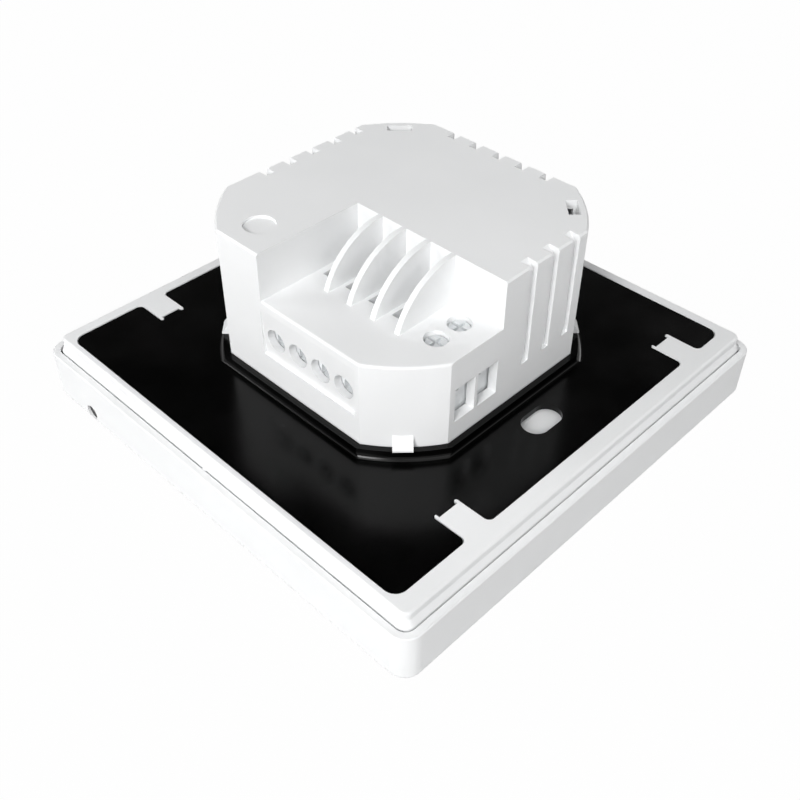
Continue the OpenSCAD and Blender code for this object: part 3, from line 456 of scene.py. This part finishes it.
def can_sleeve():
    """Dark sleeve with a pale stripe for the negative lead, and a bare aluminium end."""
    f = Finish("can_sleeve")
    x, y, z = f.place()
    stripe = (abs(y - MAIN_CAN[1]) < 1.2) * (x > -11) * (x < -8)
    dash = (abs(y - MAIN_CAN[1]) < 0.7) * (z % 2.6 < 0.5) * stripe
    stripe = stripe.larger((abs(y - OUTPUT_CAN[1]) < 1) * (x < -17))
    dash = dash.larger((abs(y - OUTPUT_CAN[1]) < 0.6) * (z % 2.6 < 0.5) * stripe)
    wrap = f.noise(1.4, 3, stretch=(1, 1, 0.4))
    colour = f.blend(f.spread(wrap, 0, 1), (0.012, 0.016, 0.058, 1), (0.018, 0.024, 0.085, 1))
    colour = f.blend(stripe, colour, (0.50, 0.54, 0.60, 1))
    colour = f.blend(dash, colour, (0.015, 0.02, 0.07, 1))
    main_end = f.spot(x, y, *MAIN_CAN, 3.2) * (z > 27.4)
    end = main_end.larger(f.spot(x, y, *OUTPUT_CAN, 2.5) * (z > 25.9))
    brushed = f.noise(0.3, 3, stretch=(1, 6, 1))
    bare = f.blend(f.spread(brushed, 0, 1), (0.62, 0.63, 0.64, 1), (0.74, 0.75, 0.76, 1))
    colour = f.blend(end, colour, bare)
    return f.done(colour, f.spread(wrap, 0.22, 0.34), f.bump(wrap, 0.01), metallic=end)


def film_yellow():
    f = Finish("film_yellow")
    z = f.place()[2]
    resin = z < 15.9
    cloud = f.noise(4)
    fine = f.noise(0.25, 3)
    colour = f.blend(f.spread(cloud, 0, 1), (0.70, 0.46, 0.035, 1), (0.78, 0.53, 0.05, 1))
    colour = f.blend(resin, colour, (0.55, 0.33, 0.03, 1))
    return f.done(colour, f.spread(fine, 0.3, 0.4), f.bump(fine, 0.006))


def disc_blue():
    """Dipped epoxy, thicker in runs, over tinned leads."""
    f = Finish("disc_blue")
    z = f.place()[2]
    lead = z < 15.7
    runs = f.noise(1.8, 2)
    colour = f.blend(f.spread(runs, 0, 1), (0.018, 0.10, 0.27, 1), (0.03, 0.14, 0.34, 1))
    colour = f.blend(lead, colour, (0.68, 0.69, 0.70, 1))
    return f.done(colour, f.spread(runs, 0.26, 0.4), f.bump(runs, 0.06), metallic=lead)


def resistor_green():
    """Cement coat with four colour bands along Y, and tinned leads."""
    f = Finish("resistor_green")
    _, y, z = f.place()
    grain = f.noise(0.3, 3)
    colour = f.blend(f.spread(grain, 0, 1), (0.03, 0.17, 0.085, 1), (0.045, 0.22, 0.115, 1))
    for at, band in ((2.9, (0.28, 0.10, 0.03)), (3.9, (0.01, 0.01, 0.01)), (4.9, (0.5, 0.03, 0.02)),
            (6.3, (0.72, 0.55, 0.16))):
        colour = f.blend(abs(y - at) < 0.22, colour, (*band, 1))
    lead = (abs(y - 4.6) > 3.02).larger(z < 15.2)
    colour = f.blend(lead, colour, (0.68, 0.69, 0.70, 1))
    return f.done(colour, f.spread(grain, 0.4, 0.55), f.bump(grain, 0.02), metallic=lead)


def relay_blue():
    """Blue case over a dark base, with a narrow seam between them."""
    f = Finish("relay_blue")
    z = f.place()[2]
    base = z < 16.5
    seam = abs(z - 16.5) < 0.08
    cloud = f.noise(5)
    fine = f.noise(0.2, 2)
    colour = f.blend(f.spread(cloud, 0, 1), (0.010, 0.062, 0.27, 1), (0.014, 0.08, 0.33, 1))
    colour = f.blend(base, colour, (0.008, 0.03, 0.13, 1))
    colour = f.blend(seam, colour, (0.003, 0.01, 0.04, 1))
    return f.done(colour, f.spread(cloud, 0.3, 0.4), f.bump(fine * 0.2 + (1 - seam) * 0.8, 0.02))


def plain(name, low, high, size, roughness, grain=0.2, depth=0.004, **constants):
    """A finish with cloudy colour and a fine grain, for parts with no pattern."""
    def make():
        f = Finish(name)
        cloud = f.noise(size)
        fine = f.noise(grain, 2)
        colour = f.blend(f.spread(cloud, 0, 1), (*low, 1), (*high, 1))
        gloss = f.spread(cloud, roughness - 0.04, roughness + 0.04)
        return f.done(colour, gloss, f.bump(fine, depth), **constants)
    return make


FINISHES = {
    "white_shell": white_shell,
    "black_steel": black_steel,
    "terminal_plastic": terminal_plastic,
    "terminal_steel": terminal_steel,
    "front_glass": front_glass,
    "display": display,
    "light_guide": light_guide,
    "rubber_strip": rubber_strip,
    "led_white": plain("led_white", (0.82, 0.82, 0.74), (0.86, 0.84, 0.62), 1, 0.3),
    "circuit_board": circuit_board,
    "chip_black": chip_black,
    "radio_can": radio_can,
    "foam_pad": plain("foam_pad", (0.05, 0.05, 0.055), (0.09, 0.09, 0.095), 0.5, 0.85, 0.35, 0.08),
    "bead_black": plain("bead_black", (0.012, 0.012, 0.012), (0.03, 0.03, 0.03), 0.6, 0.32, 0.5, 0.02),
    "header_black": header_black,
    "screw_steel": screw_steel,
    "relay_blue": relay_blue,
    "ferrite": ferrite,
    "winding_tape": winding_tape,
    "can_sleeve": can_sleeve,
    "film_yellow": film_yellow,
    "disc_blue": disc_blue,
    "resistor_green": resistor_green,
    "contact_brass": contact_brass,
}
SMALL_FINISHES = {
    "solder": plain("solder", (0.60, 0.61, 0.62), (0.72, 0.73, 0.74), 0.5, 0.3, 0.25, 0.01,
        metallic=1.0),
    "tinned_legs": plain("tinned_legs", (0.62, 0.63, 0.64), (0.74, 0.75, 0.76), 0.6, 0.36, 0.2, 0.004,
        metallic=1.0),
    "ceramic_tan": plain("ceramic_tan", (0.36, 0.25, 0.15), (0.46, 0.33, 0.21), 0.6, 0.45, 0.15, 0.004),
    "resistor_film": plain("resistor_film", (0.012, 0.012, 0.014), (0.03, 0.03, 0.034), 0.5, 0.3, 0.2,
        0.004),
    "gold_trace": plain("gold_trace", (0.74, 0.56, 0.22), (0.84, 0.66, 0.30), 0.8, 0.3, 0.2, 0.003,
        metallic=1.0),
    "lens_clear": plain("lens_clear", (0.78, 0.76, 0.50), (0.84, 0.82, 0.60), 0.6, 0.12, 0.3, 0.002),
}


def dress_frame():
    """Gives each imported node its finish."""
    made = {name: make() for name, make in {**FINISHES, **SMALL_FINISHES}.items()}
    for part in frame["record"]["subparts"]:
        slots = nodes[part["node"]].data.materials
        slots.clear()
        slots.append(made[part["material_slot"]])
    return made


# Small pieces, modelled in millimetres and set down in the frame's metres

SMOOTH_BELOW = radians(35)


def clear_bench():
    if bpy.context.mode != "OBJECT":
        bpy.ops.object.mode_set(mode="OBJECT")
    bpy.ops.object.select_all(action="DESELECT")


def pick(piece, test):
    """Selects the faces whose middle and normal pass the test, and goes to edit mode."""
    if bpy.context.mode != "OBJECT":
        bpy.ops.object.mode_set(mode="OBJECT")
    for face in piece.data.polygons:
        face.select = False
    for edge in piece.data.edges:
        edge.select = False
    for point in piece.data.vertices:
        point.select = False
    for face in piece.data.polygons:
        face.select = bool(test(face.center / MM, face.normal))
    bpy.ops.object.mode_set(mode="EDIT")
    bpy.ops.mesh.select_mode(type="FACE")


def facing(axis, sign=1):
    return lambda middle, normal: normal[axis] * sign > 0.9


def select_all():
    if bpy.context.mode != "EDIT_MESH":
        bpy.ops.object.mode_set(mode="EDIT")
    bpy.ops.mesh.select_all(action="SELECT")


def push(x=0, y=0, z=0):
    """Extrudes the selected faces by millimetres."""
    bpy.ops.mesh.extrude_region_move(TRANSFORM_OT_translate={"value": (x * MM, y * MM, z * MM)})


def inset(width):
    bpy.ops.mesh.inset(thickness=width * MM, depth=0)


def shift(x=0, y=0, z=0):
    bpy.ops.transform.translate(value=(x * MM, y * MM, z * MM))


def squeeze(x=1, y=1, z=1, about=(0, 0, 0)):
    bpy.ops.transform.resize(value=(x, y, z), center_override=Vector(about) * MM)


def turn(degrees, axis):
    bpy.ops.transform.rotate(value=radians(degrees), orient_axis=axis, center_override=(0, 0, 0))


def block(name, width, depth, height, soften=0, segments=2):
    """A block standing on z 0, with softened edges."""
    clear_bench()
    bpy.ops.mesh.primitive_cube_add(size=1)
    piece = bpy.context.object
    piece.name = name
    select_all()
    bpy.ops.transform.resize(value=(width * MM, depth * MM, height * MM))
    shift(z=height / 2)
    if soften:
        bpy.ops.mesh.bevel(offset=soften * MM, segments=segments)
    bpy.ops.object.mode_set(mode="OBJECT")
    return piece


def turned(name, profile, around=40):
    """A turned piece from a list of radius and height, from its foot up."""
    clear_bench()
    radius, height = profile[0]
    bpy.ops.mesh.primitive_circle_add(vertices=around, radius=radius * MM, fill_type="NGON",
        location=(0, 0, 0))
    piece = bpy.context.object
    piece.name = name
    select_all()
    shift(z=height)
    for next_radius, next_height in profile[1:]:
        push(z=next_height - height)
        squeeze(next_radius / radius, next_radius / radius)
        radius, height = next_radius, next_height
    select_all()
    bpy.ops.mesh.normals_make_consistent(inside=False)
    bpy.ops.object.mode_set(mode="OBJECT")
    return piece


def moved(piece, x=0, y=0, z=0, degrees=0, tilt=None):
    """Tilts a piece, turns it about Z, then moves it, all in its mesh."""
    clear_bench()
    bpy.context.view_layer.objects.active = piece
    piece.select_set(True)
    select_all()
    if tilt:
        turn(tilt[0], tilt[1])
    if degrees:
        turn(degrees, "Z")
    shift(x, y, z)
    bpy.ops.object.mode_set(mode="OBJECT")
    return piece


def copied(piece, places):
    """Copies of a piece at each place (x, y, z, degrees about Z), joined with each other."""
    copies = []
    for place in places:
        x, y, z, degrees = (*place, 0)[:4]
        clear_bench()
        bpy.context.view_layer.objects.active = piece
        piece.select_set(True)
        bpy.ops.object.duplicate(linked=False)
        copies.append(moved(bpy.context.object, x, y, z, degrees))
    clear_bench()
    for one in copies:
        one.select_set(True)
    bpy.context.view_layer.objects.active = copies[0]
    if len(copies) > 1:
        bpy.ops.object.join()
    result = bpy.context.object
    name = piece.name
    bpy.data.objects.remove(piece)
    result.name = name
    return result


def joined(name, parts):
    clear_bench()
    for one in parts:
        one.select_set(True)
    bpy.context.view_layer.objects.active = parts[0]
    bpy.ops.object.join()
    bpy.context.object.name = name
    return bpy.context.object


def fitted(piece, body, finish, replaces=()):
    """Gives a finished piece its finish and its body."""
    clear_bench()
    bpy.context.view_layer.objects.active = piece
    piece.select_set(True)
    bpy.ops.object.transform_apply(location=True, rotation=True, scale=True)
    bpy.ops.object.shade_smooth_by_angle(angle=SMOOTH_BELOW)
    piece.data.materials.clear()
    piece.data.materials.append(made[finish])
    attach(piece, body)
    if replaces:
        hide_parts(*replaces)
    return piece


def chip_body(name, width, depth, height, dot=(0, 0)):
    """A moulded body with drafted sides and a round mark at pin one."""
    body = block(name, width, depth, height)
    pick(body, facing(2))
    squeeze(0.93, 0.93, 1, (0, 0, height))
    bpy.ops.object.mode_set(mode="OBJECT")
    pick(body, facing(2, -1))
    squeeze(0.95, 0.95, 1, (0, 0, 0))
    select_all()
    bpy.ops.mesh.bevel(offset=0.08 * MM, segments=2)
    bpy.ops.object.mode_set(mode="OBJECT")
    mark = turned("mark", [(0.34, height - 0.02), (0.34, height + 0.015), (0.24, height - 0.005)], 20)
    mark = moved(mark, dot[0], dot[1])
    return joined(name, [body, mark])


def gull_leg(name, wide, rise, reach, foot):
    """A leg that leaves a chip's side at x 0, bends down and runs out flat."""
    leg = block(name, 0.2, wide, 0.12)
    moved(leg, 0.1, 0, rise)
    pick(leg, facing(0))
    push(x=reach * 0.35)
    push(x=reach * 0.2, z=-rise)
    push(x=foot)
    select_all()
    bpy.ops.mesh.bevel(offset=0.02 * MM, segments=1)
    bpy.ops.object.mode_set(mode="OBJECT")
    return leg


def legs_along(count, pitch, x, along="y"):
    """Places of legs in two rows, x millimetres to each side of the middle."""
    places = []
    for k in range(count):
        off = (k - (count - 1) / 2) * pitch
        for side in (1, -1):
            if along == "y":
                places.append((side * x, off, 0, 0 if side > 0 else 180))
            else:
                places.append((off, side * x, 0, 90 * side))
    return places


def control_chip():
    body = chip_body("control_chip_body", 7, 7, 1.4, (-2.5, -2.5))
    moved(body, *CONTROL_CHIP, BOARD + 0.1)
    fitted(body, "front_unit", "chip_black", ("control_chip",))
    leg = gull_leg("control_chip_legs", 0.24, 0.45, 0.55, 0.42)
    places = legs_along(11, 0.5, 3.4) + legs_along(11, 0.5, 3.4, along="x")
    legs = copied(leg, places)
    moved(legs, *CONTROL_CHIP, BOARD + 0.01)
    fitted(legs, "front_unit", "tinned_legs")


def small_chip(node, x, y, width, depth, foot, height, count, pitch):
    """A chip of the power board that takes the place of its plain solid."""
    part = chip_body(node + "_body", width, depth, height - foot, (-width / 2 + 0.8, depth / 2 - 0.8))
    moved(part, x, y, POWER + foot)
    fitted(part, "power_unit", "chip_black", (node,))
    leg = gull_leg(node + "_legs", 0.5, foot + (height - foot) * 0.3, 0.6, 0.45)
    legs = copied(leg, legs_along(count, pitch, width / 2 - 0.1))
    moved(legs, x, y, POWER + 0.01)
    fitted(legs, "power_unit", "tinned_legs")


def capacitor(node, x, y, radius, height):
    """A can in a sleeve: crimped foot, rolled shoulder, sunk end with a raised cross."""
    profile = [(radius - 0.4, 0.0), (radius - 0.4, 0.55), (radius - 0.02, 0.62), (radius, 0.9),
        (radius, 1.7), (radius - 0.28, 2.05), (radius - 0.28, 2.25), (radius, 2.6),
        (radius, height - 0.45), (radius - 0.1, height - 0.2), (radius - 0.35, height - 0.02),
        (radius - 0.7, height), (radius - 0.8, height - 0.12), (radius - 0.95, height - 0.14)]
    can = turned(node + "_can", profile, 48)
    rib = block("rib", 2 * radius - 2.6, 0.28, 0.1, 0.04, 2)
    moved(rib, 0, 0, height - 0.16)
    cross = copied(rib, [(0, 0, 0, 0), (0, 0, 0, 90)])
    can = joined(node + "_can", [can, cross])
    moved(can, x, y, POWER)
    fitted(can, "power_unit", "can_sleeve", (node,))


def relay_case():
    case = block("relay_case", 10.2, 18.4, 15, 0.5, 3)
    pick(case, facing(2))
    inset(0.9)
    push(z=-0.18)
    bpy.ops.object.mode_set(mode="OBJECT")
    vent = turned("vent", [(0.75, 14.7), (0.75, 15.0), (0.6, 15.0), (0.45, 14.86)], 24)
    moved(vent, 3, 6.8)
    feet = block("feet", 1.3, 1.3, 0.35, 0.12)
    feet = copied(feet, [(sx * 4, sy * 8.1, -0.3) for sx in (-1, 1) for sy in (-1, 1)])
    case = joined("relay_case", [case, vent, feet])
    moved(case, -15, -4.6, POWER + 0.3)
    fitted(case, "power_unit", "relay_blue", ("relay",))


def film_case():
    case = block("film_case", 13, 5, 11, 0.55, 3)
    pick(case, facing(1, -1))
    inset(1.0)
    push(y=0.12)
    bpy.ops.object.mode_set(mode="OBJECT")
    moved(case, 1.5, 1.8, POWER)
    fitted(case, "power_unit", "film_yellow", ("film_capacitor",))


def surge_disc():
    disc = turned("surge_disc_body", [(3.4, -1.6), (4.15, -1.35), (4.5, -0.7), (4.5, 0.7),
        (4.15, 1.35), (3.4, 1.6)], 48)
    moved(disc, tilt=(90, "X"))
    moved(disc, 0, 0, 5.2)
    lead = block("lead", 0.7, 0.7, 1.1, 0.15)
    pick(lead, facing(2))
    push(x=0.25, z=0.8)
    push(z=0.5)
    bpy.ops.object.mode_set(mode="OBJECT")
    leads = copied(lead, [(2.5, 0, 0, 180), (-2.5, 0, 0, 0)])
    disc = joined("surge_disc_body", [disc, leads])
    moved(disc, 14.5, 1.6, POWER)
    fitted(disc, "power_unit", "disc_blue", ("surge_disc",))


def fuse_resistor():
    body = turned("fuse_resistor_body", [(0.35, -3.7), (0.35, -3.0), (1.2, -2.98), (1.6, -2.75),
        (1.75, -2.3), (1.75, -1.7), (1.58, -1.3), (1.58, 1.3), (1.75, 1.7), (1.75, 2.3),
        (1.6, 2.75), (1.2, 2.98), (0.35, 3.0), (0.35, 3.7)], 36)
    moved(body, tilt=(90, "X"))
    moved(body, 0, 0, 2)
    lead = turned("lead", [(0.35, 0.0), (0.35, 1.7), (0.3, 2.0), (0.15, 2.15)], 16)
    leads = copied(lead, [(0, 3.5, 0), (0, -3.5, 0)])
    body = joined("fuse_resistor_body", [body, leads])
    moved(body, -8, 4.6, POWER)
    fitted(body, "power_unit", "resistor_green", ("fuse_resistor",))


def choke():
    profile = [(1.5, 0.0), (1.5, 0.9), (1.38, 1.0)]
    z = 1.0
    while z < 5.9:
        profile += [(1.38, z + 0.12), (1.2, z + 0.3), (1.38, z + 0.48)]
        z += 0.5
    profile += [(1.38, 6.05), (1.5, 6.1), (1.5, 6.9), (1.42, 7.0), (0.7, 7.0), (0.6, 6.8)]
    drum = turned("choke_drum", profile, 32)
    moved(drum, -18.4, 6.8, POWER)
    fitted(drum, "power_unit", "ferrite", ("choke",))


def chip_parts(name, places, z, body, finish, size=(1.6, 0.8, 0.5)):
    """Small two-ended parts with tinned caps, at (x, y, degrees)."""
    width, depth, height = size
    middle = block(name, width * 0.66, depth * 0.94, height * 0.94, 0.05)
    middles = copied(middle, [(x, y, z + 0.02, a) for x, y, a in places])
    fitted(middles, body, finish)
    cap = block("cap", width * 0.22, depth, height, 0.06)
    caps = copied(cap, [(-width * 0.4, 0, 0), (width * 0.4, 0, 0)])
    caps.name = name + "_ends"
    ends = copied(caps, [(x, y, z + 0.01, a) for x, y, a in places])
    fitted(ends, body, "solder")


def display_board_parts():
    around = [(-23, 2, 90), (-23, -0.5, 90), (-23, -3, 90), (-23, -5.5, 90), (-9.2, 1, 90),
        (-9.2, -1.5, 90), (-9.2, -4, 90), (-18.5, 4.2, 0), (-15.5, 4.2, 0), (-12.5, 4.2, 0),
        (-19, -8.2, 0), (-16, -8.2, 0), (2, -16, 90), (2, -13, 90), (2, -10, 90), (26, -10, 0),
        (26, -13, 0)]
    chip_parts("board_resistors", around, BOARD, "front_unit", "resistor_film")
    row = [(x, -17.6, 90) for x in (-22, -19.6, -17.2, -14.8, -12.4)]
    row += [(x, 22, 90) for x in (-14, -11, 11, 14)]
    chip_parts("board_capacitors", row, BOARD, "front_unit", "ceramic_tan", (2.0, 1.25, 0.8))


def power_board_parts():
    row = [(14.8, 18.6, 90), (12.4, 18.9, 90), (19.4, 9.4, 0)]
    chip_parts("power_board_capacitors", row, POWER, "power_unit", "ceramic_tan", (2.0, 1.25, 0.8))
    under = [(-4 + 2.4 * k, -4.6, 90) for k in range(6)] + [(-14, 2 + 2.4 * k, 0) for k in range(4)]
    under += [(12, -2 + 2.4 * k, 0) for k in range(3)]
    chip_parts("power_board_resistors", under, POWER_FOOT - 0.53, "power_unit", "resistor_film")


def solder_joints():
    """Cones of solder under the power board, below each lead."""
    joint = turned("solder_joints", [(0.25, -0.95), (0.33, -0.8), (0.42, -0.5), (0.62, -0.22),
        (0.95, 0.0)], 20)
    places = [(-15 + sx * 3.6, -4.6 + y, POWER_FOOT) for sx in (-1, 1) for y in (-7, 5, 7.4)]
    places += [(9 + sx * 5, 11 + sy * 4.6, POWER_FOOT) for sx in (-1, -0.33, 0.33, 1) for sy in (-1, 1)]
    places += [(-8, 12.5, POWER_FOOT), (-4, 12.5, POWER_FOOT), (-16.4, 11.6, POWER_FOOT),
        (-14, 11.6, POWER_FOOT), (-3.5, 1.8, POWER_FOOT), (6.5, 1.8, POWER_FOOT), (12, 1.6, POWER_FOOT),
        (17, 1.6, POWER_FOOT), (-8, 8.1, POWER_FOOT), (-8, 1.1, POWER_FOOT)]
    joints = copied(joint, places)
    fitted(joints, "power_unit", "solder")


def air_mesh():
    """A dust mesh of crossed threads in the casing's air hole, laid on a dark disc that is painted
    shade for the hole's dark inside.
    """
    # The dark disc under the threads is painted shade: a sheet put where the air hole is only dark
    # inside.
    shade_disc = turned("air_mesh_shade_disc", [(1.39, 0.0), (1.39, 0.36), (1.36, 0.38), (0.05, 0.38)], 32)
    threads = []
    thread_pitch = 0.3
    for step in range(-4, 5):
        reach = 2 * (1.36 ** 2 - (step * thread_pitch) ** 2) ** 0.5
        for across in (False, True):
            thread = block("thread", reach, 0.11, 0.1, 0.03, 1)
            moved(thread, 0, step * thread_pitch, 0.32 + 0.02 * across)
            if across:
                moved(thread, degrees=90)
            threads.append(thread)
    mesh = joined("air_mesh", [shade_disc, *threads])
    moved(mesh, tilt=(90, "X"))
    moved(mesh, *AIR_HOLE)
    fitted(mesh, "front_unit", "header_black")


def radio_antenna():
    """A folded track on the free end of the radio board."""
    runs = []
    x = 7.2
    for fold in range(8):
        run = block("run", 0.5, 4.2, 0.06)
        runs.append(moved(run, x, -3.4, RADIO_TOP))
        if fold < 7:
            link = block("link", 1.5, 0.5, 0.06)
            runs.append(moved(link, x + 0.75, -1.55 if fold % 2 == 0 else -5.25, RADIO_TOP))
        x += 1.5
    antenna = joined("radio_antenna", runs)
    select_all()
    bpy.ops.mesh.remove_doubles(threshold=0.00001)
    bpy.ops.object.mode_set(mode="OBJECT")
    fitted(antenna, "front_unit", "gold_trace")


def radio_lid():
    """The can's lid with a turned-down rim and a sunk top."""
    lid = block("radio_lid", 13.9, 15.9, 1.78, 0.3, 3)
    pick(lid, facing(2))
    inset(0.5)
    push(z=-0.08)
    bpy.ops.object.mode_set(mode="OBJECT")
    moved(lid, 14, -15, RADIO_TOP)
    base = block("radio_base", 16, 24, 0.8, 0.04, 1)
    moved(base, 14, -12, BOARD)
    whole = joined("radio_lid", [lid, base])
    fitted(whole, "front_unit", "radio_can", ("radio_module",))


def lamp_lenses():
    lens = turned("lamp_lenses", [(0.52, 0.0), (0.5, 0.16), (0.42, 0.3), (0.28, 0.4), (0.1, 0.45)], 20)
    moved(lens, tilt=(90, "Y"))
    pieces = copied(lens, [(-28.2, 6, 4.7), (28.2, 6, 4.7, 180)])
    fitted(pieces, "front_unit", "lens_clear")


def build_pieces():
    control_chip()
    display_board_parts()
    radio_lid()
    radio_antenna()
    lamp_lenses()
    relay_case()
    capacitor("main_capacitor", *MAIN_CAN, 4, 13)
    capacitor("output_capacitor", *OUTPUT_CAN, 3.15, 11.5)
    film_case()
    surge_disc()
    fuse_resistor()
    choke()
    small_chip("power_chip", 19, 6.5, 4, 5, 0.15, 1.6, 4, 1.27)
    small_chip("opto_coupler", 19, 12, 3.2, 4.6, 0.6, 4, 2, 2.54)
    small_chip("rectifier", 0, 20.2, 5, 3.8, 0.2, 2.6, 2, 2.6)
    power_board_parts()
    solder_joints()
    air_mesh()


# Stage, lamps and camera

FOCAL = 1019.4
PRINCIPAL = (389.57, 382.94)
PICTURE = 800
CAMERA_AT = Vector((94.97, -98.21, 119.3)) * MM
AZIMUTH = radians(44.82)
ELEVATION = radians(40.80)
LAMP_DISTANCE = 0.8
LAMPS = [  # name, azimuth and elevation in degrees, size in metres, power in watts
    ("key_low", 20, 30, 0.3, 4.2),
    ("key_high", 25, 50, 0.3, 1.0),
    ("left", -50, 25, 0.3, 1.7),
    ("side", 75, 40, 0.8, 2.2),
    ("back", 180, 30, 0.3, 1.1),
]
FLOOR_GLOW = 0.985        # how far the floor shows as plain white
AMBIENT = 0.07            # the world's light on matt surfaces
REFLECTED = 0.03          # the least that a reflection shows


def add_camera():
    data = bpy.data.cameras.new("camera")
    data.sensor_width = 36
    data.lens = FOCAL * data.sensor_width / PICTURE
    data.shift_x = (PICTURE / 2 - PRINCIPAL[0]) / PICTURE
    data.shift_y = (PRINCIPAL[1] - PICTURE / 2) / PICTURE
    data.clip_start = 0.01
    data.clip_end = 20
    camera = bpy.data.objects.new("camera", data)
    bpy.context.scene.collection.objects.link(camera)
    back = towards(AZIMUTH, ELEVATION)
    right = Vector((cos(AZIMUTH), sin(AZIMUTH), 0))
    up = back.cross(right)
    facing_back = Matrix((right, up, back)).transposed()
    camera.matrix_world = Matrix.Translation(CAMERA_AT) @ facing_back.to_4x4()
    bpy.context.scene.camera = camera


def towards(azimuth, elevation):
    """The unit vector to a place seen at these angles, azimuth 0 being -Y."""
    return Vector((sin(azimuth) * cos(elevation), -cos(azimuth) * cos(elevation), sin(elevation)))


def add_lamp(name, azimuth, elevation, size, power):
    data = bpy.data.lights.new(name, "AREA")
    data.shape = "DISK"
    data.size = size
    data.energy = power
    lamp = bpy.data.objects.new(name, data)
    bpy.context.scene.collection.objects.link(lamp)
    back = towards(radians(azimuth), radians(elevation))
    lamp.location = back * LAMP_DISTANCE
    lamp.rotation_euler = back.to_track_quat("Z", "Y").to_euler()


def add_world():
    world = bpy.data.worlds.new("studio")
    bpy.context.scene.world = world
    world.use_nodes = True
    tree = world.node_tree
    tree.nodes.clear()
    f = Finish("studio", world)
    rays = f.node("ShaderNodeLightPath").socket.node
    camera = Wire(f, rays.outputs["Is Camera Ray"])
    glossy = Wire(f, rays.outputs["Is Glossy Ray"])
    through = Wire(f, rays.outputs["Is Transmission Ray"])
    normal = f.node("ShaderNodeNewGeometry", output="Normal")
    height = f.node("ShaderNodeSeparateXYZ", inputs={0: normal}, output="Z")
    backdrop = f.node("ShaderNodeMapRange", {"clamp": True}, {
        0: height, 1: -0.34, 2: -0.5, 3: 1.0, 4: REFLECTED})
    seen = camera.larger(through).larger(glossy * backdrop)
    matt = 1 - camera.larger(through).larger(glossy)
    level = seen.larger(matt * AMBIENT).larger(glossy * REFLECTED)
    shader = f.node("ShaderNodeBackground", inputs={"Color": WHITE, "Strength": level})
    output = tree.nodes.new("ShaderNodeOutputWorld")
    tree.links.new(shader.socket, output.inputs["Surface"])


def add_floor():
    bpy.ops.object.select_all(action="DESELECT")
    bpy.ops.mesh.primitive_plane_add(size=6, location=(0, 0, 0))
    floor = bpy.context.object
    floor.name = "floor"
    f = Finish("floor")
    rays = f.node("ShaderNodeLightPath").socket.node
    seen = Wire(f, rays.outputs["Is Camera Ray"])
    seen = seen.larger(Wire(f, rays.outputs["Is Glossy Ray"]))
    seen = seen.larger(Wire(f, rays.outputs["Is Transmission Ray"]))
    matt = f.node("ShaderNodeBsdfDiffuse", inputs={"Color": grey(0.5)})
    glow = f.node("ShaderNodeEmission", inputs={"Color": WHITE, "Strength": 1.0})
    front = f.node("ShaderNodeMixShader", inputs={0: seen * FLOOR_GLOW, 1: matt, 2: glow})
    below = f.node("ShaderNodeNewGeometry", output="Backfacing")
    clear = f.node("ShaderNodeBsdfTransparent")
    f.end(f.node("ShaderNodeMixShader", inputs={0: below, 1: front, 2: clear}))
    floor.data.materials.append(f.material)


made = dress_frame()
build_pieces()
add_floor()
add_world()
for lamp_row in LAMPS:
    add_lamp(*lamp_row)
add_camera()

scene = bpy.context.scene
scene.view_settings.view_transform = "Standard"
